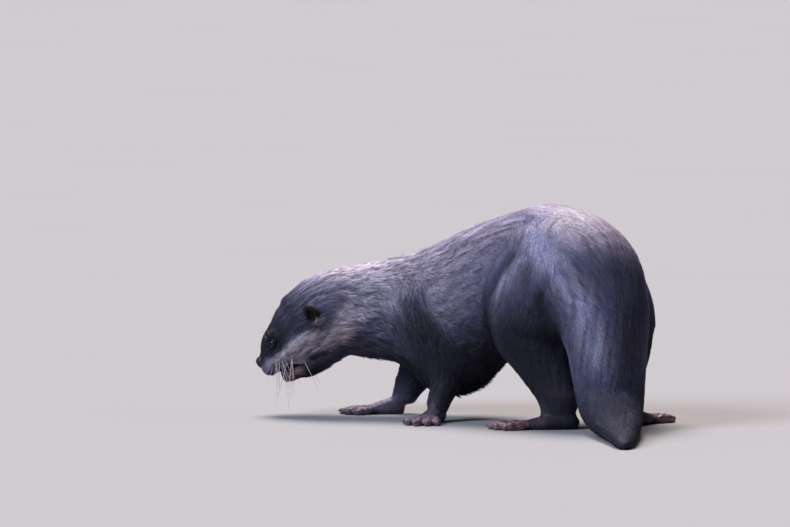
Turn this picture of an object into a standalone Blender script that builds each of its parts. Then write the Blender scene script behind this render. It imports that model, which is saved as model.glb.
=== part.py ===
"""A small-clawed river otter, life size, standing with its back arched and its head low.

The body is lofted from rings that follow its spine, skull and limbs, grown into one form, and then
parted with thin cuts into the head, jaw, neck, trunk, tail, legs and feet.  The nose, eyes, ears and
claws are solids of their own, let into it.  Metres, +Z up.  The otter faces -X, its rump is turned
towards -Y, and all four feet and the tail rest on the floor at Z = 0.
"""

import math
from collections import namedtuple

import bmesh
import bpy
from mathutils import Matrix, Vector

MM = 0.001

# ---------------------------------------------------------------- driving dimensions, in millimetres
GAP = 0.35                 # between neighbouring solids
VOXEL = 1.8                # grain of the grown body
BODY_TRIANGLES = 2760      # left in the whole body before it is parted
SOLE_DEPTH = 1.2           # how far the soles are pressed into the floor before they are cut flat
REACH = 115.0              # of the blocks that part the trunk, to each side

HEAD_PLACE = (-150.0, 30.0, 105.5)   # between the ears
HEAD_PITCH = 40.0                    # degrees the muzzle points below the horizon
NOSE_PAD = dict(forward=71.3, up=-3.2, long=6.8, wide=9.0, high=7.6)
EYE = dict(forward=49.0, up=4.5, side=20.0, radius=5.6)
EAR = dict(forward=-1.5, up=3.5, side=38.0, long=10.5, high=12.5, thick=6.0, lean=24.0, turn=38.0)

# A ring of a loft: its centre, the heading of the body there (degrees from -X towards +Y), and its
# reach to each side, to the top (or back of a leg) and to the bottom (or front of a leg).
Ring = namedtuple("Ring", "x y z yaw side top bottom")

# The skull and muzzle in the head's own frame: x runs back from the ears' line, z up.
SKULL = {
    "nose":     Ring(-73.5, 0, -3.5, 0, 8, 7, 6.5),
    "nostrils": Ring(-71.5, 0, -4.5, 0, 13, 11, 11),
    "lip":      Ring(-66, 0, -7, 0, 18.5, 14.5, 14),
    "muzzle":   Ring(-59, 0, -6, 0, 22.5, 19, 17),
    "eyes":     Ring(-49, 0, -4, 0, 26.5, 25.5, 20.5),
    "brow":     Ring(-37, 0, -6, 0, 33, 34.5, 31),
    "cheeks":   Ring(-21, 0, -9, 0, 40, 42, 43),
    "ears":     Ring(-4, 0, -9, 0, 43, 44.5, 46),
}
SPINE = {
    "occiput":    Ring(-127, 30, 108, 0, 43, 47, 45),
    "neck":       Ring(-92, 28, 112, 4, 46, 49.5, 50),
    "neck_root":  Ring(-60, 21, 114, 13, 50, 56, 57),
    "shoulders":  Ring(-26, 10, 117, 24, 56, 62, 92),
    "chest":      Ring(7, -7, 123, 31, 60, 71, 92),
    "midriff":    Ring(38, -27, 132, 36, 62, 76, 71),
    "belly":      Ring(69, -51, 144, 42, 65, 77, 70),
    "loin":       Ring(104, -80, 152, 49, 69, 79, 70),
    "croup":      Ring(132, -106, 145, 55, 67, 70, 60),
    "tail_root":  Ring(149, -128, 120, 62, 55, 48, 48),
    "tail_top":   Ring(155, -143, 89, 66, 46, 36, 35),
    "tail_drop":  Ring(157, -153, 57, 72, 40.5, 28.5, 28),
    "tail_bend":  Ring(158.5, -170, 29, 78, 36, 23, 23),
    "tail_floor": Ring(160.5, -204, 17.5, 84, 31, 18.5, 19),
    "tail_half":  Ring(163.5, -249, 13.5, 88, 25.5, 15, 15),
    "tail_low":   Ring(166, -295, 10.5, 89, 18.5, 11.5, 12),
    "tail_end":   Ring(167, -334, 7.5, 89, 13, 8.5, 9),
    "tail_tip":   Ring(167, -359, 5, 90, 7, 4.5, 6),
}
JAW = {
    "chin":     Ring(-65, 0, -30, 0, 8, 4.5, 5),
    "lip":      Ring(-60, 0, -31.5, 0, 13.5, 6.5, 7),
    "gape":     Ring(-50, 0, -34, 0, 19, 9.5, 8),
    "corner":   Ring(-38, 0, -37, 0, 25, 12, 11.5),
    "angle":    Ring(-20, 0, -38, 0, 31, 14, 15),
}
# Soft forms of the face, one of each per side: (forward, up, side) and radii along the same three.
FACE = {
    "whisker_pad": ((64.5, -12.0, 11.5), (11.5, 11.0, 10.5)),
    "lip_lobe":    ((51.0, -12.5, 17.5), (13.0, 10.5, 10.5)),
    "brow_ridge":  ((46.0, 12.0, 16.0), (9.0, 6.0, 7.0)),
    "cheek":       ((30.0, -14.0, 27.0), (19.0, 18.0, 13.0)),
}

# Girths of a leg: reach to the side, to the back and to the front, from the top down.
FORELEG_GIRTH = [(18, 32, 30), (19, 32, 30), (17, 25, 24), (14.5, 19, 18), (12.5, 14.5, 14.5), (12, 13, 13)]
FAR_FORELEG_GIRTH = [(18, 32, 30), (19, 32, 30), (17, 27, 25), (14.5, 22, 22), (12.5, 13, 21), (11.5, 9, 20)]
HINDLEG_GIRTH = [(26, 32, 28), (33, 45, 43), (35, 47, 45), (31, 43, 34), (25, 34, 26), (19, 35, 20),
                 (15, 30, 17), (13, 25, 17)]
FAR_HINDLEG_GIRTH = [(28, 32, 20), (34, 45, 30), (37, 47, 36), (36.5, 42, 34), (30, 31, 29), (21, 23, 24),
                     (15, 18, 19), (13, 16, 17)]
LEGS = {
    "foreleg_left":  (FORELEG_GIRTH, 12, [(-38, -24, 128), (-30, -31, 96), (-13, -38, 63),
                                          (-10, -41, 43), (-15, -45, 27), (-21, -46, 13)]),
    "foreleg_right": (FAR_FORELEG_GIRTH, 12, [(-26, 44, 124), (-29, 46, 92), (-35, 47, 62),
                                              (-39, 49, 43), (-45, 51, 27), (-50, 51, 13)]),
    "hindleg_left":  (HINDLEG_GIRTH, 15, [(99, -110, 184), (91, -114, 156), (80, -110, 126), (69, -103, 100),
                                          (78, -108, 76), (89, -115, 54), (100, -122, 32), (104, -126, 14)]),
    "hindleg_right": (FAR_HINDLEG_GIRTH, 78, [(146, -78, 182), (160, -70, 152), (170, -64, 120),
                                              (172, -57, 96), (175, -64, 75), (176, -76, 51),
                                              (179, -86, 30), (182, -92, 14)]),
}

# A foot: where its heel stands, the way it points (degrees from -X towards +Y), and its build.
Build = namedtuple("Build", "length width height heel toe_length toe_radius spread")
FOREFOOT = Build(length=42, width=14, height=11, heel=10, toe_length=24, toe_radius=4.5, spread=15)
HINDFOOT = Build(length=61, width=16, height=11.5, heel=11, toe_length=27, toe_radius=4.8, spread=11)
FEET = {
    "forefoot_left":  (FOREFOOT, (-18, -43), -66),
    "forefoot_right": (FOREFOOT, (-61, 51), -4),
    "hindfoot_left":  (HINDFOOT, (115, -129), 0),
    "hindfoot_right": (HINDFOOT, (180, -99), 117),
}
TOE_REACH = (0.66, 0.93, 1.0, 0.92, 0.74)    # share of the toe length, from the inner toe out
CLAW = dict(length=2.6, radius=1.4)

# Where the spine is parted: the ring each length ends at, counted from the nose and in tenths.
LENGTHS = {"head": 8.4, "neck": 10.4, "chest": 12.5, "belly": 14.5, "rump": 17.6, "tail_base": 20.6,
           "tail_middle": 22.5}
# The blocks that part a limb: where they stand, their heading, how far from there they begin to the
# side, and their outline as (forward, up).
Block = namedtuple("Block", "x y heading inner outline")
LIMB_BLOCKS = {
    "foreleg_left":  Block(-25, 10, 24, 18, [(-34, 118), (-16, 143), (22, 146), (40, 120), (30, 62),
                                             (14, 42), (2, -5), (-62, -5), (-62, 40), (-54, 72)]),
    "foreleg_right": Block(-25, 10, 24, 18, [(-34, 118), (-16, 143), (22, 146), (40, 120), (30, 84),
                                             (44, 50), (60, -5), (-2, -5), (-20, 40), (-30, 72)]),
    "hindleg_left":  Block(132, -106, 55, 12, [(-20, 128), (-8, 168), (18, 184), (40, 170), (50, 130),
                                               (46, 96), (58, 60), (50, -5), (-24, -5), (-24, 46),
                                               (-17, 56), (-11, 66), (-8, 78), (-4, 90)]),
    "hindleg_right": Block(132, -106, 55, 28, [(-20, 128), (-8, 168), (18, 184), (40, 170), (50, 130),
                                               (46, 96), (40, 60), (40, -5), (-42, -5), (-42, 44),
                                               (-25, 62), (-25, 90)]),
}
KNEES = {"hindleg_left": 79.0, "hindleg_right": 73.0}     # height at which thigh and shank part
ANKLE = 19.5                                             # height at which leg and foot part

COAT = (0.085, 0.075, 0.085, 1.0)
BARE = (0.16, 0.095, 0.085, 1.0)
NOSE = (0.03, 0.024, 0.026, 1.0)
HORN = (0.20, 0.15, 0.12, 1.0)
EYEBALL = (0.012, 0.008, 0.006, 1.0)


# ---------------------------------------------------------------- tools
def clear_scene():
    """Empties the scene."""
    for obj in list(bpy.data.objects):
        bpy.data.objects.remove(obj)


def material(name, colour, roughness):
    """A plain Principled material."""
    made = bpy.data.materials.new(name)
    made.use_nodes = True
    shader = made.node_tree.nodes["Principled BSDF"]
    shader.inputs["Base Color"].default_value = colour
    shader.inputs["Roughness"].default_value = roughness
    return made


def collection(name):
    """A new collection in the scene."""
    made = bpy.data.collections.new(name)
    bpy.context.scene.collection.children.link(made)
    return made


def place(mesh, name, into):
    """A new object for a mesh, in a collection."""
    obj = bpy.data.objects.new(name, mesh)
    into.objects.link(obj)
    return obj


def evaluated(obj):
    """The object's mesh as its modifiers leave it."""
    graph = bpy.context.evaluated_depsgraph_get()
    return bpy.data.meshes.new_from_object(obj.evaluated_get(graph))


def between(rings, steps):
    """Rings on a smooth curve through the given ones, with `steps` to each span."""
    rows = [Vector(ring) for ring in rings]
    made = []
    for i in range(len(rows) - 1):
        a, b = rows[i], rows[i + 1]
        into = (b - rows[max(i - 1, 0)]) / 2
        out = (rows[min(i + 2, len(rows) - 1)] - a) / 2
        for k in range(steps):
            t = k / steps
            made.append(a * (2 * t**3 - 3 * t**2 + 1) + into * (t**3 - 2 * t**2 + t)
                        + b * (3 * t**2 - 2 * t**3) + out * (t**3 - t**2))
    return [Ring(*row) for row in made + [rows[-1]]]


def loft(form, rings, steps=4, sides=28, closing=0.5):
    """Adds to a bmesh a closed tube through the rings, with domed ends."""
    rows = between(rings, steps)
    centres = [Vector(row[:3]) for row in rows]
    loops = []
    for i, row in enumerate(rows):
        along = (centres[min(i + 1, len(rows) - 1)] - centres[max(i - 1, 0)]).normalized()
        yaw = math.radians(row.yaw)
        side = Vector((math.sin(yaw), math.cos(yaw), 0))
        side = (side - side.dot(along) * along).normalized()
        up = along.cross(side)
        loop = []
        for k in range(sides):
            angle = 2 * math.pi * k / sides
            reach = row.top if math.sin(angle) > 0 else row.bottom
            spoke = side * row.side * math.cos(angle) + up * reach * math.sin(angle)
            loop.append(form.verts.new(centres[i] + spoke))
        loops.append(loop)
    for first, second in zip(loops, loops[1:]):
        for k in range(sides):
            form.faces.new((first[k], first[k - 1], second[k - 1], second[k]))
    for loop, row, centre, outward in ((loops[0], rows[0], centres[0], centres[0] - centres[1]),
                                       (loops[-1], rows[-1], centres[-1], centres[-1] - centres[-2])):
        dome = form.verts.new(centre + outward.normalized() * closing * min(row.side, row.top))
        flip = loop is loops[0]
        for k in range(sides):
            corners = (loop[k - 1], loop[k], dome)
            form.faces.new(corners if flip else corners[::-1])


def ball(form, centre, radii, turn=None):
    """Adds an ellipsoid to a bmesh."""
    shape = Matrix.Translation(centre) @ (turn or Matrix()) @ Matrix.Diagonal((*radii, 1))
    bmesh.ops.create_uvsphere(form, u_segments=20, v_segments=12, radius=1, matrix=shape)


def modify(obj, kind, **settings):
    """Adds a modifier with its settings."""
    made = obj.modifiers.new(kind.lower(), kind)
    for key, value in settings.items():
        setattr(made, key, value)
    return made


def settle(obj):
    """Replaces the object's mesh with the one its modifiers leave."""
    obj.data = evaluated(obj)
    obj.modifiers.clear()


def as_mesh(form, name):
    """A mesh in metres from a bmesh in millimetres."""
    bmesh.ops.recalc_face_normals(form, faces=form.faces)
    bmesh.ops.transform(form, matrix=Matrix.Scale(MM, 4), verts=form.verts)
    mesh = bpy.data.meshes.new(name)
    form.to_mesh(mesh)
    form.free()
    return mesh


def boolean(obj, kind, cutter):
    """Applies an exact Boolean."""
    modify(obj, "BOOLEAN", operation=kind, solver="EXACT", object=cutter)
    settle(obj)


def widened(outline, by):
    """A closed outline with its edges moved out by a distance."""
    points = [Vector(point) for point in outline]
    turning = sum(a.cross(b) for a, b in zip(points, points[1:] + points[:1]))
    hand = 1 if turning > 0 else -1
    made = []
    for i, point in enumerate(points):
        before = (point - points[i - 1]).normalized()
        after = (points[(i + 1) % len(points)] - point).normalized()
        first = Vector((before.y, -before.x)) * hand
        second = Vector((after.y, -after.x)) * hand
        made.append(point + (first + second) * by / (1 + first.dot(second)))
    return made


def frame_at(place_at, heading):
    """A frame with x to the back, y to the otter's right and z up."""
    return Matrix.Translation(place_at) @ Matrix.Rotation(-math.radians(heading), 4, "Z")


def block(name, frame, outline, sides, grow, into):
    """A cutter: an outline of (forward, up) in a frame, extruded from one side distance to the other."""
    form = bmesh.new()
    near, far = min(sides) - grow, max(sides) + grow
    points = widened(outline, grow)
    loops = [[form.verts.new((-forward, side, up)) for forward, up in points] for side in (near, far)]
    form.faces.new(loops[0])
    form.faces.new(loops[1][::-1])
    for k in range(len(points)):
        form.faces.new((loops[0][k - 1], loops[0][k], loops[1][k], loops[1][k - 1]))
    bmesh.ops.transform(form, matrix=frame, verts=form.verts)
    return as_cutter(place(as_mesh(form, name), name, into))


def as_cutter(obj):
    """Marks an object as a cutter, which isn't part of the otter."""
    obj.hide_render = True
    obj.display_type = "WIRE"
    return obj


def rounded(name, frame, radii, into, segments=12, rings=8):
    """An ellipsoid in a frame."""
    form = bmesh.new()
    shape = frame @ Matrix.Diagonal((*radii, 1))
    bmesh.ops.create_uvsphere(form, u_segments=segments, v_segments=rings, radius=1, matrix=shape)
    return place(as_mesh(form, name), name, into)


def head_frame():
    """The head's place and tilt."""
    return Matrix.Translation(HEAD_PLACE) @ Matrix.Rotation(-math.radians(HEAD_PITCH), 4, "Y")


# ---------------------------------------------------------------- the grown body
def spine_rings():
    """The rings of the whole body, from the nose to the tip of the tail."""
    skull = [Ring(*(head_frame() @ Vector(ring[:3])), *ring[3:]) for ring in SKULL.values()]
    return skull + list(SPINE.values())


def add_to(form, other, matrix):
    """Moves the second bmesh into the first."""
    bmesh.ops.transform(other, matrix=matrix, verts=other.verts)
    bmesh.ops.recalc_face_normals(other, faces=other.faces)
    mesh = bpy.data.meshes.new("part")
    other.to_mesh(mesh)
    other.free()
    form.from_mesh(mesh)
    bpy.data.meshes.remove(mesh)


def face_forms(form):
    """The jaw and the soft forms of the face."""
    head = bmesh.new()
    loft(head, JAW.values())
    for (forward, up, side), (long, high, wide) in FACE.values():
        for hand in (-1, 1):
            ball(head, (-forward, hand * side, up), (long, wide, high))
    add_to(form, head, head_frame())


def leg_rings(name):
    """The rings down one leg."""
    girths, yaw, joints = LEGS[name]
    return [Ring(*joint, yaw, *girth) for joint, girth in zip(joints, girths)]


def foot_frame(name):
    """The foot's own frame: x back from the toes, y to the otter's right, origin under the heel."""
    _, (x, y), points = FEET[name]
    return frame_at((x, y, 0), points)


def toe_line(name, i):
    """A toe's root on the floor, the way it points and its length, in the foot's frame."""
    build = FEET[name][0]
    hand = 1 if name.endswith("left") else -1     # the inner toe is on the otter's right of a left foot
    fan = (2 - i) * hand
    turn = math.radians(fan * build.spread)
    root = Vector((-build.length * (1 - 0.05 * abs(fan)) + 6, fan * build.width * 0.40, 0))
    ahead = Vector((-math.cos(turn), math.sin(turn), 0))
    return root, ahead, build.toe_length * TOE_REACH[i], fan * build.spread


def toe_rings(name, i):
    """The rings of one toe in the foot's frame, from tip to root."""
    r = FEET[name][0].toe_radius * (0.9 if i == 0 else 1.0)
    root, ahead, length, yaw = toe_line(name, i)
    bones = [(1.0, r * 0.62, 0.62), (0.88, r * 0.85, 0.9), (0.62, r * 1.25, 1.0), (0.3, r * 1.45, 0.95),
             (-0.15, r * 1.3, 0.95)]
    return [Ring(*(root + ahead * length * far)[:2], high, yaw, r * fat, r * fat * 0.8, high + SOLE_DEPTH)
            for far, high, fat in bones]


def foot_forms(form, name):
    """The palm or sole of a foot, its toes and the web between them."""
    build = FEET[name][0]
    foot = bmesh.new()
    height, width, heel = build.height, build.width, build.heel
    sole = [Ring(-build.length - 8, 0, 3.2, 0, width * 0.92, 1.8, 3.0),
            Ring(-build.length, 0, 4.2, 0, width, 3.2, 4.2),
            Ring(-build.length * 0.7, 0, 5.0, 0, width * 0.93, 5.2, 5.0 + SOLE_DEPTH),
            Ring(-build.length * 0.35, 0, 6.0, 0, width * 0.78, height * 0.85, 6.0 + SOLE_DEPTH),
            Ring(-2, 0, 7.5, 0, heel * 0.98, height, 7.5 + SOLE_DEPTH),
            Ring(heel * 0.6, 0, 8.5, 0, heel * 0.75, heel * 0.8, 8.5 + SOLE_DEPTH * 0.5)]
    loft(foot, sole, sides=20)
    for i in range(5):
        loft(foot, toe_rings(name, i), sides=12)
    add_to(form, foot, foot_frame(name))


def whole_body(bench):
    """The whole body grown into one closed form, with its soles flat on the floor."""
    form = bmesh.new()
    loft(form, spine_rings(), steps=5, sides=40)
    for name in LEGS:
        loft(form, leg_rings(name), sides=24)
    body = place(as_mesh(form, "body"), "body", bench)
    modify(body, "REMESH", mode="VOXEL", voxel_size=VOXEL * MM)
    modify(body, "SMOOTH", factor=0.6, iterations=30)
    settle(body)
    form = bmesh.new()
    face_forms(form)
    for name in FEET:
        foot_forms(form, name)
    bmesh.ops.transform(form, matrix=Matrix.Scale(MM, 4), verts=form.verts)
    form.from_mesh(body.data)
    form.to_mesh(body.data)
    form.free()
    modify(body, "REMESH", mode="VOXEL", voxel_size=VOXEL * MM)
    modify(body, "SMOOTH", factor=0.5, iterations=6)
    settle(body)
    share = BODY_TRIANGLES / (2 * len(body.data.polygons))
    modify(body, "DECIMATE", ratio=share, use_collapse_triangulate=True)
    settle(body)
    floor = block("floor", Matrix(), [(-900, 0), (900, 0), (900, -60), (-900, -60)], (-900, 900), 0, bench)
    boolean(body, "DIFFERENCE", floor)
    return body


# ---------------------------------------------------------------- parting it
def part_off(body, name, cutter, keep):
    """Parts from the body what lies in a cutter; cutter(grow) makes it, grown by a distance."""
    piece = place(body.data.copy(), name, keep)
    boolean(piece, "INTERSECT", cutter(0))
    boolean(body, "DIFFERENCE", cutter(GAP))
    return piece


def part_lengths(body, bench, keep):
    """Parts the head, neck, trunk and tail along the spine; what is left of it is the tail's tip."""
    rows = between(spine_rings(), 10)
    for name, ends in LENGTHS.items():
        i = round(ends * 10)
        along = (Vector(rows[i + 1][:3]) - Vector(rows[i - 1][:3])).normalized()
        side = Vector((math.sin(math.radians(rows[i].yaw)), math.cos(math.radians(rows[i].yaw)), 0))
        side = (side - side.dot(along) * along).normalized()
        up = along.cross(side)
        frame = Matrix.Translation(rows[i][:3]) @ Matrix((along, side, up)).transposed().to_4x4()
        reach = [(0, -REACH), (0, REACH), (1.6 * REACH, REACH), (1.6 * REACH, -REACH)]

        def cutter(grow):
            return block(f"{name}_end", frame, reach, (-REACH, REACH), grow, bench)
        part_off(body, name, cutter, keep)
    body.name = "tail_tip"
    keep.objects.link(body)
    bench.objects.unlink(body)


def part_limbs(body, bench, keep):
    """Parts each foot, and each leg above it."""
    for name, (build, _, _) in FEET.items():
        ahead = build.length + build.toe_length + 6
        outline = [(-build.heel - 7, -5), (-build.heel - 7, ANKLE), (ahead, ANKLE), (ahead, -5)]

        def cutter(grow):
            width = build.width + 13
            return block(f"{name}_block", foot_frame(name), outline, (-width, width), grow, bench)
        part_off(body, name, cutter, keep)
    for name, (x, y, heading, inner, outline) in LIMB_BLOCKS.items():
        hand = -1 if name.endswith("left") else 1

        def cutter(grow):
            frame = frame_at((x, y, 0), heading)
            return block(f"{name}_block", frame, outline, (hand * inner, hand * 160), grow, bench)
        leg = part_off(body, name, cutter, keep)
        if name in KNEES:
            knee = [(-200, KNEES[name]), (-200, -5), (200, -5), (200, KNEES[name])]

            def below(grow):
                return block(f"{name}_knee", frame_at((x, y, 0), 0), knee, (-200, 200), grow, bench)
            part_off(leg, name.replace("hindleg", "shank"), below, keep)
            leg.name = name.replace("hindleg", "thigh")


def part_face(head, bench, keep):
    """Parts the lower jaw from the head, and lets in the nose, the eyes and the ears."""
    mouth = [(90, -24.5), (56, -24.5), (38, -31.0), (38, -80), (90, -80)]

    def jaw(grow):
        return block("mouth", head_frame(), mouth, (-60, 60), grow, bench)
    part_off(head, "lower_jaw", jaw, keep)
    let_in(head, "nose", head_frame() @ Matrix.Translation((-NOSE_PAD["forward"], 0, NOSE_PAD["up"])),
           (NOSE_PAD["long"], NOSE_PAD["wide"], NOSE_PAD["high"]), bench, keep)
    for hand, side in ((-1, "left"), (1, "right")):
        at = Matrix.Translation((-EYE["forward"], hand * EYE["side"], EYE["up"]))
        let_in(head, f"eye_{side}", head_frame() @ at, [EYE["radius"]] * 3, bench, keep)
        at = (Matrix.Translation((-EAR["forward"], hand * EAR["side"], EAR["up"]))
              @ Matrix.Rotation(-hand * math.radians(EAR["turn"]), 4, "Z")
              @ Matrix.Rotation(-hand * math.radians(EAR["lean"]), 4, "X"))
        radii = (EAR["thick"], EAR["long"], EAR["high"])
        ear = let_in(head, f"ear_{side}", head_frame() @ at, radii, bench, keep)
        hollow = head_frame() @ at @ Matrix.Translation((-EAR["thick"], hand * 0.3 * EAR["long"], 0.5))
        scoop = (EAR["thick"], 0.7 * EAR["long"], 0.72 * EAR["high"])
        boolean(ear, "DIFFERENCE", as_cutter(rounded("hollow", hollow, scoop, bench)))


def let_in(host, name, frame, radii, bench, keep, **detail):
    """Sets an ellipsoid into its host, with a gap round it."""
    socket = rounded(f"{name}_socket", frame, [radius + GAP for radius in radii], bench, **detail)
    boolean(host, "DIFFERENCE", as_cutter(socket))
    return rounded(name, frame, radii, keep, **detail)


def claws(bench, keep):
    """A small blunt claw on the tip of every toe."""
    for name in FEET:
        for i in range(5):
            root, ahead, length, yaw = toe_line(name, i)
            r = FEET[name][0].toe_radius
            tip = root + ahead * length + Vector((0, 0, r * 0.95))
            tilt = Matrix.Rotation(-math.radians(yaw), 4, "Z") @ Matrix.Rotation(-math.radians(24), 4, "Y")
            at = foot_frame(name) @ Matrix.Translation(tip) @ tilt
            radii = (CLAW["length"], CLAW["radius"], CLAW["radius"])
            let_in(keep.objects[name], f"claw_{name}_{i + 1}", at, radii, bench, keep,
                   segments=6, rings=4)


# ---------------------------------------------------------------- finishing
def dress(keep):
    """Gives every solid its material and smooth shading."""
    coat = material("coat", COAT, 0.75)
    bare = material("bare_skin", BARE, 0.6)
    finishes = {"nose": material("nose", NOSE, 0.45), "eye": material("eye", EYEBALL, 0.08),
                "claw": material("horn", HORN, 0.4), "forefoot": bare, "hindfoot": bare}
    for obj in keep.objects:
        obj.data.materials.clear()
        obj.data.materials.append(finishes.get(obj.name.split("_")[0], coat))
        obj.data.shade_smooth()


def centre_on_floor(keep):
    """Moves everything so that the origin is under the middle of the otter's box."""
    points = [vertex.co for obj in keep.objects for vertex in obj.data.vertices]
    low = Vector([min(point[axis] for point in points) for axis in range(3)])
    high = Vector([max(point[axis] for point in points) for axis in range(3)])
    shift = Matrix.Translation((-(low.x + high.x) / 2, -(low.y + high.y) / 2, -low.z))
    for obj in keep.objects:
        obj.data.transform(shift)


def main():
    """Builds the otter."""
    clear_scene()
    keep = collection("small_clawed_otter")
    bench = collection("cutters")
    body = whole_body(bench)
    part_limbs(body, bench, keep)
    part_lengths(body, bench, keep)
    part_face(keep.objects["head"], bench, keep)
    claws(bench, keep)
    dress(keep)
    centre_on_floor(keep)


main()
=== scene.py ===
"""The looks of a life-size small-clawed river otter, standing wet with its back arched.

One skin is grown over rings close to those of the solids.  It lies inside them by the depth of the
coat, and carries the lids, lips, ear hollows, folds and toes.  The coat is solid tufts that follow
the lie of the hair.  The eyes, the nose, the claws and the whiskers are pieces of their own.

Shapes are worked out in millimetres in the otter's own frame: it faces -X, its left side is
towards -Y and +Z is up.  Carcass.put() brings them to where the frame has its left eye.
"""

import logging
import math
from dataclasses import dataclass, field
from enum import Enum
from typing import Iterator, NamedTuple, Sequence

import bmesh
import bpy
import numpy as np
from mathutils import Matrix, Vector
from mathutils.kdtree import KDTree

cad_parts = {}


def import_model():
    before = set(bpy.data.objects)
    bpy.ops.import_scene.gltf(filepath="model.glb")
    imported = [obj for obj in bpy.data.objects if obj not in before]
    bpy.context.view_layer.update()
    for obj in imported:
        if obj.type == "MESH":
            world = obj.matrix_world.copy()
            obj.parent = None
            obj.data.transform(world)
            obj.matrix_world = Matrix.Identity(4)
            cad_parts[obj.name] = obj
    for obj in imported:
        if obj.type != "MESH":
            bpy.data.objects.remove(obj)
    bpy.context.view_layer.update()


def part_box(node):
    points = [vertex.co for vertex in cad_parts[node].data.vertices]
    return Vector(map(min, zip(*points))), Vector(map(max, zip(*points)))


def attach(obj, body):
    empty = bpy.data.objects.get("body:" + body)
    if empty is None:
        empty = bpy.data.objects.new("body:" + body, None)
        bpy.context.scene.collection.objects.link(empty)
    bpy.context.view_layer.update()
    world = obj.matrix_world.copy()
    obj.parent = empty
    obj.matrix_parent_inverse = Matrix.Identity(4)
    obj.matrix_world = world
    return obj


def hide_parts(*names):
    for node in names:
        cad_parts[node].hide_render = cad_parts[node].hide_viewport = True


LOG = logging.getLogger("otter")
MM = 0.001
FAR = 1e9
SLIGHT = 1e-9

# The limbs that the coat is laid along, by number: the spine, then the legs and the toes.
SPINE = 0
LEGS = range(1, 5)
LEFT_LEGS, RIGHT_LEGS = (1, 3), (2, 4)
TOES = range(5, 25)
TOES_A_FOOT = 5

Colour = tuple[float, float, float, float]
Triple = tuple[float, float, float]


class Side(Enum):
    """The otter's two sides, as the sign of Y in its head's frame."""

    LEFT = -1
    RIGHT = 1

    @property
    def word(self) -> str:
        """The side's name in the names of pieces."""
        return self.name.lower()


class Slot(Enum):
    """The record's material slots, one named for each piece."""

    COAT = "coat"
    NOSE = "nose"
    EYE = "eye"
    CLAW = "claw"


class Region(Enum):
    """The stretches of the coat: how far along the spine each one ends, by the ring's name."""

    HEAD = "occiput"
    NECK = "shoulders"
    CHEST = "midriff"
    FLANK = "croup"
    RUMP = "tail_drop"
    TAIL = "tail_tip"


class Ring(NamedTuple):
    """A ring of a loft: its centre, heading (degrees from -X towards +Y) and reaches."""

    x: float
    y: float
    z: float
    yaw: float
    side: float
    top: float
    bottom: float


class Pelt(NamedTuple):
    """The coat at a ring: its hair's length, its depth, and its clumping, droop and bareness."""

    length: float
    depth: float
    clump: float = 0.0
    droop: float = 0.0
    bare: float = 0.0


class Build(NamedTuple):
    """The build of a foot."""

    length: float
    width: float
    height: float
    heel: float
    toe_length: float
    toe_radius: float
    spread: float


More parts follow.
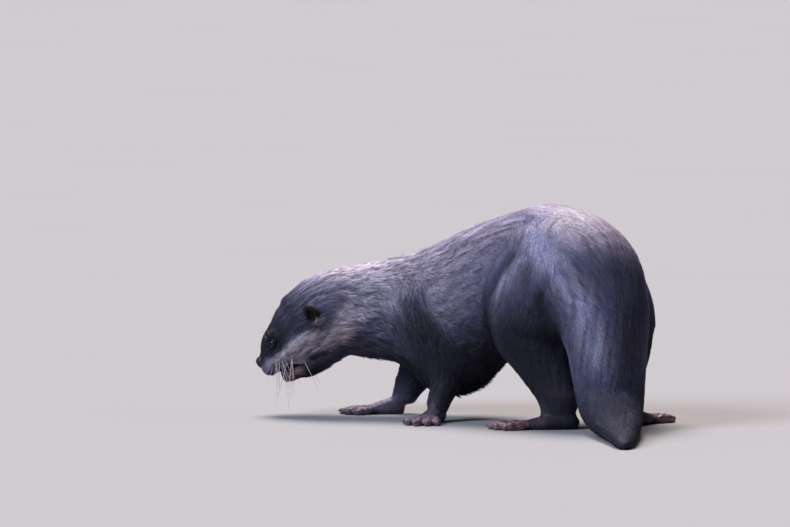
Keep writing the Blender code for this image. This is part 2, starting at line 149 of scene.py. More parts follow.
# ---------------------------------------------------------------------------- the otter's measures
@dataclass(frozen=True)
class Body:
    """The rings and forms of the body, in millimetres."""

    head_place: Triple = (-150.0, 30.0, 105.5)
    head_pitch: float = 40.0
    eye_at: Triple = (49.0, 20.0, 4.5)
    eye_radius: float = 5.6
    sole_depth: float = 1.2
    skull: dict[str, tuple[Ring, Pelt]] = field(default_factory=lambda: {
        "nose":     (Ring(-73.5, 0, -3.5, 0, 8, 7, 6.5), Pelt(1.0, 0.3)),
        "nostrils": (Ring(-71.5, 0, -4.5, 0, 13, 11, 11), Pelt(1.2, 0.4)),
        "lip":      (Ring(-66, 0, -7, 0, 18.5, 14.5, 14), Pelt(1.6, 0.5)),
        "muzzle":   (Ring(-59, 0, -6, 0, 22.5, 17, 17), Pelt(2.2, 0.6, 0.15)),
        "eyes":     (Ring(-49, 0, -4, 0, 26.5, 23.5, 20.5), Pelt(2.6, 0.7, 0.25)),
        "brow":     (Ring(-37, 0, -6, 0, 33, 34.5, 31), Pelt(3.6, 0.9, 0.4, 0.1)),
        "cheeks":   (Ring(-21, 0, -9, 0, 40, 42, 43), Pelt(5.0, 1.3, 0.5, 0.2)),
        "ears":     (Ring(-4, 0, -9, 0, 43, 44.5, 46), Pelt(6.0, 1.6, 0.6, 0.3)),
    })
    spine: dict[str, tuple[Ring, Pelt]] = field(default_factory=lambda: {
        "occiput":    (Ring(-127, 30, 108, 0, 43, 47, 45), Pelt(7.5, 2.0, 0.7, 0.35)),
        "neck":       (Ring(-92, 28, 112, 4, 46, 49.5, 50), Pelt(9.0, 2.4, 0.85, 0.45)),
        "neck_root":  (Ring(-60, 21, 114, 13, 50, 56, 57), Pelt(9.5, 2.5, 0.85, 0.5)),
        "shoulders":  (Ring(-26, 10, 117, 24, 56, 62, 92), Pelt(9.5, 2.6, 0.8, 0.5)),
        "chest":      (Ring(7, -7, 123, 31, 60, 71, 92), Pelt(9.0, 2.5, 0.7, 0.45)),
        "midriff":    (Ring(38, -27, 132, 36, 62, 76, 71), Pelt(8.0, 2.3, 0.5, 0.35)),
        "belly":      (Ring(69, -51, 144, 42, 65, 77, 70), Pelt(7.0, 2.1, 0.3, 0.25)),
        "loin":       (Ring(104, -80, 152, 49, 69, 79, 70), Pelt(6.5, 2.0, 0.18, 0.2)),
        "croup":      (Ring(132, -106, 145, 55, 67, 70, 60), Pelt(6.0, 2.0, 0.15, 0.2)),
        "tail_root":  (Ring(149, -128, 120, 62, 55, 48, 48), Pelt(6.0, 2.0, 0.15)),
        "tail_top":   (Ring(155, -143, 89, 66, 46, 36, 35), Pelt(6.0, 1.8, 0.15)),
        "tail_drop":  (Ring(157, -153, 57, 72, 40.5, 28.5, 28), Pelt(6.0, 1.7, 0.15)),
        "tail_bend":  (Ring(158.5, -170, 29, 78, 36, 23, 23), Pelt(6.0, 1.6, 0.2)),
        "tail_floor": (Ring(160.5, -204, 17.5, 84, 31, 18.5, 19), Pelt(6.0, 1.5, 0.25)),
        "tail_half":  (Ring(163.5, -249, 13.5, 88, 25.5, 15, 15), Pelt(5.5, 1.3, 0.3)),
        "tail_low":   (Ring(166, -295, 10.5, 89, 18.5, 11.5, 12), Pelt(5.0, 1.1, 0.3)),
        "tail_end":   (Ring(167, -334, 7.5, 89, 13, 8.5, 9), Pelt(4.5, 0.9, 0.3)),
        "tail_tip":   (Ring(167, -359, 5, 90, 7, 4.5, 6), Pelt(3.5, 0.6, 0.3)),
    })
    jaw: tuple[Ring, ...] = (
        Ring(-65, 0, -30, 0, 8, 4.5, 5), Ring(-60, 0, -31.5, 0, 13.5, 6.5, 7),
        Ring(-50, 0, -34, 0, 19, 9.5, 8), Ring(-38, 0, -37, 0, 25, 12, 11.5),
        Ring(-20, 0, -38, 0, 31, 14, 15))
    # Soft forms of the face, one of each per side: their (forward, up, side) and radii along them.
    face: tuple[tuple[tuple[float, ...], tuple[float, ...]], ...] = (
        ((66.3, -11.8, 11.2), (11.5, 11.0, 10.5)),
        ((51.0, -12.5, 17.5), (13.0, 10.5, 10.5)),
        ((46.0, 12.0, 16.0), (9.0, 6.0, 7.0)),
        ((30.0, -14.0, 27.0), (19.0, 18.0, 13.0)))
    # Reach to the side, to the back and to the front of each leg, from the top down.
    foreleg: tuple[tuple[float, ...], ...] = (
        (18, 32, 30), (19, 32, 30), (17, 25, 24), (14.5, 19, 18), (12.5, 14.5, 14.5), (12, 13, 13))
    far_foreleg: tuple[tuple[float, ...], ...] = (
        (18, 32, 30), (19, 32, 30), (17, 27, 25), (14.5, 22, 22), (12.5, 13, 21), (11.5, 9, 20))
    hindleg: tuple[tuple[float, ...], ...] = (
        (26, 32, 28), (33, 45, 43), (35, 47, 45), (31, 45, 34), (25, 40, 26), (19, 36, 20),
        (15, 30, 17), (13, 25, 17))
    far_hindleg: tuple[tuple[float, ...], ...] = (
        (28, 32, 20), (34, 45, 30), (37, 47, 36), (36.5, 42, 34), (30, 31, 29), (21, 23, 24),
        (15, 18, 19), (13, 16, 17))
    foreleg_pelt: tuple[Pelt, ...] = (
        Pelt(8.0, 2.2, 0.7, 0.3), Pelt(7.0, 2.0, 0.6), Pelt(6.0, 1.5, 0.5), Pelt(5.0, 1.1, 0.4),
        Pelt(3.5, 0.7, 0.3, 0, 0.05), Pelt(2.2, 0.4, 0.1, 0, 0.25))
    hindleg_pelt: tuple[Pelt, ...] = (
        Pelt(6.5, 2.0, 0.15), Pelt(6.5, 2.0, 0.15), Pelt(6.5, 2.0, 0.2), Pelt(6.5, 1.9, 0.25),
        Pelt(6.0, 1.6, 0.35), Pelt(5.0, 1.2, 0.4), Pelt(3.5, 0.8, 0.3, 0, 0.1),
        Pelt(2.2, 0.4, 0.1, 0, 0.5))
    forefoot: Build = Build(42, 14, 11, 10, 24, 4.5, 15)
    hindfoot: Build = Build(61, 16, 11.5, 11, 27, 4.8, 11)
    toe_reach: tuple[float, ...] = (0.66, 0.93, 1.0, 0.92, 0.74)
    # The shape of a toe from tip to root: share of its length, height of its middle and fatness.
    toe_bones: tuple[Triple, ...] = (
        (1.0, 0.62, 0.62), (0.88, 0.82, 0.92), (0.74, 0.92, 0.82), (0.56, 1.10, 1.08),
        (0.36, 1.06, 0.84), (0.12, 1.20, 1.05), (-0.15, 1.15, 0.95))

    def legs(self) -> dict[str, tuple[Sequence, Sequence[Pelt], float, list[tuple[float, ...]]]]:
        """Each leg's girths, coat, heading and joints, from the top down.

        Returns:
            The four by name.
        """
        return {
            "foreleg_left": (self.foreleg, self.foreleg_pelt, 12, [
                (-38, -24, 128), (-30, -31, 96), (-13, -38, 63), (-10, -41, 43), (-15, -45, 27),
                (-21, -46, 13)]),
            "foreleg_right": (self.far_foreleg, self.foreleg_pelt, 12, [
                (-26, 44, 124), (-29, 46, 92), (-35, 47, 62), (-39, 49, 43), (-45, 51, 27),
                (-50, 51, 13)]),
            "hindleg_left": (self.hindleg, self.hindleg_pelt, 15, [
                (99, -110, 184), (91, -114, 156), (80, -110, 126), (69, -103, 100), (78, -108, 76),
                (89, -115, 54), (100, -122, 32), (104, -126, 14)]),
            "hindleg_right": (self.far_hindleg, self.hindleg_pelt, 78, [
                (146, -78, 182), (160, -70, 152), (170, -64, 120), (172, -57, 96), (175, -64, 75),
                (176, -76, 51), (179, -86, 30), (182, -92, 14)]),
        }

    def feet(self) -> dict[str, tuple[Build, tuple[float, float], float]]:
        """Each foot's build, where its heel stands and the way it points.

        Returns:
            The four by name.
        """
        return {
            "forefoot_left": (self.forefoot, (-18, -43), -66),
            "forefoot_right": (self.forefoot, (-61, 51), -4),
            "hindfoot_left": (self.hindfoot._replace(length=64), (118, -129), 0),
            "hindfoot_right": (self.hindfoot, (180, -99), 117),
        }

    def head_frame(self) -> Matrix:
        """The head's place and tilt: x back from the ears' line, z up."""
        return (Matrix.Translation(self.head_place)
                @ Matrix.Rotation(-math.radians(self.head_pitch), 4, "Y"))

    def head_point(self, forward: float, side: float, up: float) -> Vector:
        """A point of the head's frame in the otter's frame."""
        return self.head_frame() @ Vector((-forward, side, up))

    def eye_point(self, side: Side) -> Vector:
        """The middle of an eye in the otter's frame."""
        forward, out, up = self.eye_at
        return self.head_point(forward, side.value * out, up)

    def foot_frame(self, name: str) -> Matrix:
        """A foot's frame: x back from the toes, y to the otter's right, origin under the heel."""
        _, (x, y), points = self.feet()[name]
        return Matrix.Translation((x, y, 0)) @ Matrix.Rotation(-math.radians(points), 4, "Z")

    def spine_rings(self) -> tuple[list[Ring], list[Pelt]]:
        """The rings from the nose to the tip of the tail, with their coat.

        Returns:
            The rings and their coat.
        """
        frame = self.head_frame()
        rings = [Ring(*(frame @ Vector(ring[:3])), *ring[3:]) for ring, _ in self.skull.values()]
        rings += [ring for ring, _ in self.spine.values()]
        return rings, [pelt for _, pelt in (*self.skull.values(), *self.spine.values())]

    def leg_rings(self, name: str) -> tuple[list[Ring], list[Pelt]]:
        """The rings down one leg, with their coat."""
        girths, pelts, yaw, joints = self.legs()[name]
        return [Ring(*joint, yaw, *girth) for joint, girth in zip(joints, girths)], list(pelts)

    def toe_line(self, name: str, i: int) -> tuple[Vector, Vector, float, float]:
        """A toe's root on the floor, its way, length and turn, in the foot's frame.

        Args:
            name: the foot.
            i: which toe, from the inner one out.

        Returns:
            The root, the unit way ahead, the length and the turn in degrees.
        """
        build = self.feet()[name][0]
        hand = 1 if name.endswith("left") else -1
        fan = (2 - i) * hand
        turn = math.radians(fan * build.spread)
        root = Vector((-build.length * (1 - 0.05 * abs(fan)) + 6, fan * build.width * 0.40, 0))
        ahead = Vector((-math.cos(turn), math.sin(turn), 0))
        return root, ahead, build.toe_length * self.toe_reach[i], fan * build.spread

    def toe_rings(self, name: str, i: int) -> list[Ring]:
        """The rings of one toe in the foot's frame, from tip to root.

        Args:
            name: the foot.
            i: which toe, from the inner one out.

        Returns:
            The rings.
        """
        r = self.feet()[name][0].toe_radius * (0.9 if i == 0 else 1.0)
        root, ahead, length, yaw = self.toe_line(name, i)
        return [Ring(*(root + ahead * length * far)[:2], high * r, yaw, r * fat, r * fat * 0.8,
                     high * r + self.sole_depth) for far, high, fat in self.toe_bones]

    def sole_rings(self, name: str) -> list[Ring]:
        """The rings of a palm or sole in the foot's frame, from the web back to the heel.

        Args:
            name: the foot.

        Returns:
            The rings.
        """
        length, width, height, heel = self.feet()[name][0][:4]
        deep = self.sole_depth
        return [Ring(-length - 6, 0, 2.6, 0, width * 0.86, 0.9, 2.4),
                Ring(-length, 0, 3.8, 0, width * 0.96, 2.2, 3.8),
                Ring(-length * 0.7, 0, 5.0, 0, width * 0.93, 5.0, 5.0 + deep),
                Ring(-length * 0.35, 0, 6.0, 0, width * 0.78, height * 0.85, 6.0 + deep),
                Ring(-2, 0, 7.5, 0, heel * 0.98, height, 7.5 + deep),
                Ring(heel * 0.6, 0, 8.5, 0, heel * 0.75, heel * 0.8, 8.5 + deep * 0.5)]


class Band(NamedTuple):
    """A soft line over one side of the body: its course as seen from there, and what it does to the
    depth, the painted shade and the painted sheen.
    """

    side: Side
    course: tuple[tuple[float, float], ...]
    width: float
    depth: float = 0.0
    shade: float = 0.0
    sheen: float = 0.0


# --------------------------------------------------------------------------------- modelling tools
def between(rings: Sequence[Ring], steps: int) -> list[Ring]:
    """Rings on a smooth curve through the given ones, with `steps` to each span.

    Args:
        rings: the rings to go through.
        steps: how many rings to make for each span.

    Returns:
        The rings, with the last given one at the end.
    """
    rows = [Vector(ring) for ring in rings]
    made = []
    for i in range(len(rows) - 1):
        a, b = rows[i], rows[i + 1]
        into = (b - rows[max(i - 1, 0)]) / 2
        out = (rows[min(i + 2, len(rows) - 1)] - a) / 2
        for k in range(steps):
            t = k / steps
            made.append(a * (2 * t**3 - 3 * t**2 + 1) + into * (t**3 - 2 * t**2 + t)
                        + b * (3 * t**2 - 2 * t**3) + out * (t**3 - t**2))
    return [Ring(*row) for row in made + [rows[-1]]]


def ring_axes(rows: Sequence[Ring], i: int) -> tuple[Vector, Vector, Vector]:
    """The ways along, to the side and up at one of a row of rings.

    Args:
        rows: the rings.
        i: which of them.

    Returns:
        The three unit ways.
    """
    ahead, behind = rows[min(i + 1, len(rows) - 1)], rows[max(i - 1, 0)]
    along = (Vector(ahead[:3]) - Vector(behind[:3])).normalized()
    yaw = math.radians(rows[i].yaw)
    side = Vector((math.sin(yaw), math.cos(yaw), 0))
    side = (side - side.dot(along) * along).normalized()
    return along, side, along.cross(side)


def loft(form: bmesh.types.BMesh, rings: Sequence[Ring], steps: int = 4, sides: int = 28) -> None:
    """Adds to a form a closed tube through the rings, with domed ends.

    Args:
        form: the form to add to.
        rings: the rings to go through.
        steps: how many rings to make for each span.
        sides: how many points go round a ring.
    """
    rows = between(rings, steps)
    loops = []
    for i, row in enumerate(rows):
        _, side, up = ring_axes(rows, i)
        loop = []
        for k in range(sides):
            angle = 2 * math.pi * k / sides
            reach = row.top if math.sin(angle) > 0 else row.bottom
            spoke = side * row.side * math.cos(angle) + up * reach * math.sin(angle)
            loop.append(form.verts.new(Vector(row[:3]) + spoke))
        loops.append(loop)
    for first, second in zip(loops, loops[1:]):
        for k in range(sides):
            form.faces.new((first[k], first[k - 1], second[k - 1], second[k]))
    for loop, row, inner in ((loops[0], rows[0], rows[1]), (loops[-1], rows[-1], rows[-2])):
        outward = (Vector(row[:3]) - Vector(inner[:3])).normalized()
        dome = form.verts.new(Vector(row[:3]) + outward * 0.5 * min(row.side, row.top))
        for k in range(sides):
            corners = (loop[k - 1], loop[k], dome)
            form.faces.new(corners if loop is loops[0] else corners[::-1])


def ball(form: bmesh.types.BMesh, frame: Matrix, radii: Sequence[float], detail: int = 24) -> None:
    """Adds an ellipsoid to a form."""
    bmesh.ops.create_uvsphere(form, u_segments=detail, v_segments=detail * 2 // 3, radius=1,
                              matrix=frame @ Matrix.Diagonal((*radii, 1)))


def meshed(form: bmesh.types.BMesh, name: str) -> bpy.types.Mesh:
    """A smooth-shaded mesh of a form.

    Args:
        form: the form, which is used up.
        name: the mesh's name.

    Returns:
        The mesh.
    """
    mesh = bpy.data.meshes.new(name)
    form.to_mesh(mesh)
    form.free()
    mesh.shade_smooth()
    return mesh


def join_into(form: bmesh.types.BMesh, other: bmesh.types.BMesh, matrix: Matrix) -> None:
    """Moves the second form into the first one.

    Args:
        form: the form that grows.
        other: the form that is used up.
        matrix: where the second form goes in the first one.
    """
    bmesh.ops.transform(other, matrix=matrix, verts=other.verts)
    bmesh.ops.recalc_face_normals(other, faces=other.faces)
    mesh = meshed(other, "form")
    form.from_mesh(mesh)
    bpy.data.meshes.remove(mesh)


def grown(form: bmesh.types.BMesh, voxel: float, share: float, rounds: int) -> bpy.types.Mesh:
    """One closed mesh grown over everything in a form.

    Args:
        form: the overlapping closed forms, which are used up.
        voxel: the grain in millimetres.
        share: how far each round of smoothing goes.
        rounds: how many rounds of smoothing follow.

    Returns:
        The grown mesh.
    """
    bmesh.ops.recalc_face_normals(form, faces=form.faces)
    mesh = meshed(form, "grown")
    bench = bpy.data.objects.new("bench", mesh)
    bpy.context.scene.collection.objects.link(bench)
    remesh = bench.modifiers.new("grow", "REMESH")
    remesh.mode, remesh.voxel_size = "VOXEL", voxel
    smooth = bench.modifiers.new("smooth", "SMOOTH")
    smooth.factor, smooth.iterations = share, rounds
    graph = bpy.context.evaluated_depsgraph_get()
    made = bpy.data.meshes.new_from_object(bench.evaluated_get(graph))
    bpy.data.objects.remove(bench)
    bpy.data.meshes.remove(mesh)
    return made


def step(low: float, high: float, values: np.ndarray) -> np.ndarray:
    """A smooth step from 0 at `low` to 1 at `high`."""
    t = np.clip((values - low) / (high - low), 0, 1)
    return t * t * (3 - 2 * t)


def unit(rows: np.ndarray) -> np.ndarray:
    """The rows of an array at unit length."""
    return rows / np.maximum(np.linalg.norm(rows, axis=1, keepdims=True), SLIGHT)


def within(frame: Matrix, points: np.ndarray) -> np.ndarray:
    """Points as they lie in a frame."""
    inverse = np.array(frame.inverted())
    return points @ inverse[:3, :3].T + inverse[:3, 3]


@dataclass
class Grain:
    """Smooth seeded noise over arrays of points, between -1 and 1."""

    seed: int
    entries: int = 8192
    primes: tuple[int, int, int] = (73856093, 19349663, 83492791)

    def __post_init__(self) -> None:
        """Draws the table that the cells look up."""
        self.table = np.random.default_rng(self.seed).uniform(-1, 1, self.entries)

    def __call__(self, points: np.ndarray, size: float | Sequence[float]) -> np.ndarray:
        """The noise at points of two or three coordinates, with cells of a size.

        Args:
            points: rows of coordinates.
            size: the size of the cells, one for all axes or one for each.

        Returns:
            The noise at each point.
        """
        grid = points / np.asarray(size)
        cell = np.floor(grid).astype(np.int64)
        part = grid - cell
        part = part * part * (3 - 2 * part)
        total = np.zeros(len(points))
        for corner in range(2 ** points.shape[1]):
            weight, key = np.ones(len(points)), np.zeros(len(points), np.int64)
            for axis in range(points.shape[1]):
                far = corner >> axis & 1
                weight *= part[:, axis] if far else 1 - part[:, axis]
                key ^= (cell[:, axis] + far) * self.primes[axis]
            total += weight * self.table[key & self.entries - 1]
        return total


@dataclass
class Surface:
    """A mesh as arrays: its points, its edges and its triangles."""

    points: np.ndarray
    edges: np.ndarray
    triangles: np.ndarray

    @classmethod
    def of(cls, mesh: bpy.types.Mesh) -> "Surface":
        """Reads a mesh.

        Args:
            mesh: the mesh.

        Returns:
            Its points, edges and triangles.
        """
        mesh.calc_loop_triangles()
        points = np.empty(len(mesh.vertices) * 3)
        mesh.vertices.foreach_get("co", points)
        edges = np.empty(len(mesh.edges) * 2, np.int32)
        mesh.edges.foreach_get("vertices", edges)
        triangles = np.empty(len(mesh.loop_triangles) * 3, np.int32)
        mesh.loop_triangles.foreach_get("vertices", triangles)
        return cls(points.reshape(-1, 3), edges.reshape(-1, 2), triangles.reshape(-1, 3))

    def blurred(self, values: np.ndarray, rounds: int,
                share: float | np.ndarray = 0.5) -> np.ndarray:
        """Values at the points, each drawn towards the mean of its neighbours.

        Args:
            values: a number or a row of numbers for each point.
            rounds: how often they are drawn together.
            share: how far each time, for all points or for each.

        Returns:
            The new values.
        """
        first, second = self.edges.T
        count = len(self.points)
        near = np.bincount(first, minlength=count) + np.bincount(second, minlength=count)
        near = np.maximum(near, 1)
        flat = values.reshape(count, -1).copy()
        share = np.broadcast_to(np.asarray(share, float), (count,))
        for _ in range(rounds):
            for k in range(flat.shape[1]):
                column = flat[:, k]
                total = (np.bincount(first, column[second], count)
                         + np.bincount(second, column[first], count))
                flat[:, k] = column + share * (total / near - column)
        return flat.reshape(values.shape)

    def normals(self) -> np.ndarray:
        """The outward way at each point.

        Returns:
            Unit rows.
        """
        a, b, c = (self.points[self.triangles[:, k]] for k in range(3))
        faces = np.cross(b - a, c - a)
        total = np.zeros_like(self.points)
        for k in range(3):
            for axis in range(3):
                total[:, axis] += np.bincount(self.triangles[:, k], faces[:, axis],
                                              len(self.points))
        return unit(total)


def faced(name: str, points: np.ndarray, faces: np.ndarray) -> bpy.types.Mesh:
    """A smooth-shaded mesh from arrays of points and of triangles.

    Args:
        name: the mesh's name.
        points: rows of coordinates.
        faces: rows of three point numbers.

    Returns:
        The mesh.
    """
    mesh = bpy.data.meshes.new(name)
    mesh.vertices.add(len(points))
    mesh.vertices.foreach_set("co", points.astype(np.float32).ravel())
    mesh.loops.add(faces.size)
    mesh.loops.foreach_set("vertex_index", faces.astype(np.int32).ravel())
    mesh.polygons.add(len(faces))
    mesh.polygons.foreach_set("loop_start", np.arange(0, faces.size, 3, dtype=np.int32))
    mesh.update(calc_edges=True)
    mesh.shade_smooth()
    return mesh


def mark(mesh: bpy.types.Mesh, values: dict[str, np.ndarray]) -> None:
    """Stores named values at a mesh's points.

    Args:
        mesh: the mesh.
        values: a number for each point, by name.
    """
    for name, column in values.items():
        made = mesh.attributes.new(name, "FLOAT", "POINT")
        made.data.foreach_set("value", np.ascontiguousarray(column, np.float32))


@dataclass(frozen=True)
class Carcass:
    """Where the otter stands in the frame."""

    shift: Vector

    @classmethod
    def from_frame(cls, body: Body) -> "Carcass":
        """Finds the shift from the otter's own frame to the model's, by its left eye."""
        low, high = (Vector(corner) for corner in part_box("eye_left"))
        return cls((low + high) / 2 - body.eye_point(Side.LEFT) * MM)

    def put(self, mesh: bpy.types.Mesh, name: str, slot: Slot, finish: bpy.types.Material,
            *nodes: str) -> None:
        """Makes a piece of a mesh that is in millimetres, and hides the nodes that it stands for.

        Args:
            mesh: the mesh in the otter's own frame.
            name: the name of the piece, which rides on the still body.
            slot: the record's slot for its finish; not used.
            finish: its material.
            *nodes: the solids that it replaces.
        """
        mesh.transform(Matrix.Translation(self.shift) @ Matrix.Scale(MM, 4))
        mesh.name = name
        mesh.materials.append(finish)
        piece = bpy.data.objects.new(name, mesh)
        bpy.context.scene.collection.objects.link(piece)
        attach(piece, "root")
        if nodes:
            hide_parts(*nodes)
        LOG.info("%s: %d faces", name, len(mesh.polygons))


# ------------------------------------------------------------------------------------ shader tools
class Value:
    """An output socket, on which arithmetic adds Math nodes."""

    def __init__(self, shader: "Shader", socket: bpy.types.NodeSocket) -> None:
        """Wraps a socket of a shader."""
        self.shader, self.socket = shader, socket

    def _math(self, operation: str, first: "Value | float", second: "Value | float") -> "Value":
        """One Math node on two values."""
        made = self.shader.node("ShaderNodeMath", {"operation": operation}, {0: first, 1: second})
        return Value(self.shader, made.outputs[0])

    def __add__(self, other: "Value | float") -> "Value":
        """The sum."""
        return self._math("ADD", self, other)

    __radd__ = __add__

    def __sub__(self, other: "Value | float") -> "Value":
        """The difference."""
        return self._math("SUBTRACT", self, other)

    def __rsub__(self, other: float) -> "Value":
        """A number less this value."""
        return self._math("SUBTRACT", other, self)

    def __mul__(self, other: "Value | float") -> "Value":
        """The product."""
        return self._math("MULTIPLY", self, other)

    __rmul__ = __mul__


class Shader:
    """A material being put together from nodes round one Principled shader."""

    def __init__(self, name: str) -> None:
        """Starts a material.

        Args:
            name: the material's name.
        """
        self.material = bpy.data.materials.new(name)
        self.material.use_nodes = True
        self.tree = self.material.node_tree
        self.surface = self.tree.nodes["Principled BSDF"]

    def node(self, kind: str, settings: dict | None = None,
             inputs: dict[int | str, object] | None = None) -> bpy.types.Node:
        """Adds a node.

        Args:
            kind: the node's type.
            settings: its properties, which are set first.
            inputs: values or links for its sockets, by name or number.

        Returns:
            The node.
        """
        made = self.tree.nodes.new(kind)
        for key, value in (settings or {}).items():
            setattr(made, key, value)
        for key, value in (inputs or {}).items():
            self.feed(made.inputs[key], value)
        return made

    def feed(self, socket: bpy.types.NodeSocket, value: object) -> None:
        """Sets a socket to a number or colour, or links a value to it.

        Args:
            socket: the input socket.
            value: a number, a colour or a value.
        """
        if isinstance(value, Value):
            self.tree.links.new(value.socket, socket)
        else:
            socket.default_value = value

    def attribute(self, name: str) -> Value:
        """A value stored at the mesh's points."""
        made = self.node("ShaderNodeAttribute", {"attribute_name": name})
        return Value(self, made.outputs["Fac"])

    def where(self) -> Value:
        """The place on the object, in metres."""
        return Value(self, self.node("ShaderNodeTexCoord").outputs["Object"])

    def noise(self, at: Value, grain: float, detail: float = 2.0) -> Value:
        """Noise with a grain in millimetres.

        Args:
            at: the place.
            grain: the size of its grains.
            detail: how many finer layers it has.

        Returns:
            The noise, from 0 to 1.
        """
        made = self.node("ShaderNodeTexNoise", None,
                         {"Vector": at, "Scale": 1 / (grain * MM), "Detail": detail})
        return Value(self, made.outputs["Fac"])

    def cells(self, at: Value, grain: float) -> Value:
        """The distance to the nearest of scattered points, with a grain in millimetres."""
        made = self.node("ShaderNodeTexVoronoi", None, {"Vector": at, "Scale": 1 / (grain * MM)})
        return Value(self, made.outputs["Distance"])

    def ramp(self, value: Value, low: float, high: float) -> Value:
        """A smooth step of a value from 0 at `low` to 1 at `high`.

        Args:
            value: the value.
            low: where the step starts.
            high: where it ends.

        Returns:
            The step.
        """
        made = self.node("ShaderNodeMapRange", {"interpolation_type": "SMOOTHSTEP"},
                         {"Value": value, "From Min": low, "From Max": high})
        return Value(self, made.outputs["Result"])

    def blend(self, share: Value | float, first: object, second: object) -> Value:
        """A colour between two, by the sockets that a Mix node has for colours."""
        made = self.node("ShaderNodeMix", {"data_type": "RGBA"}, {0: share, 6: first, 7: second})
        return Value(self, made.outputs[2])

    def bump(self, height: Value, strength: float, distance: float) -> Value:
        """The normal over a relief whose full height is a distance in millimetres.

        Args:
            height: the relief, from 0 to 1.
            strength: how strong it is.
            distance: the full height in millimetres.

        Returns:
            The normal.
        """
        made = self.node("ShaderNodeBump", None,
                         {"Height": height, "Strength": strength, "Distance": distance * MM})
        return Value(self, made.outputs["Normal"])

    def wear(self, **sockets: object) -> None:
        """Sets or links the Principled shader's sockets, with _ for a space in their names."""
        for name, value in sockets.items():
            self.feed(self.surface.inputs[name.replace("_", " ")], value)


def tone(red: float, green: float, blue: float) -> Colour:
    """An opaque colour."""
    return red, green, blue, 1.0


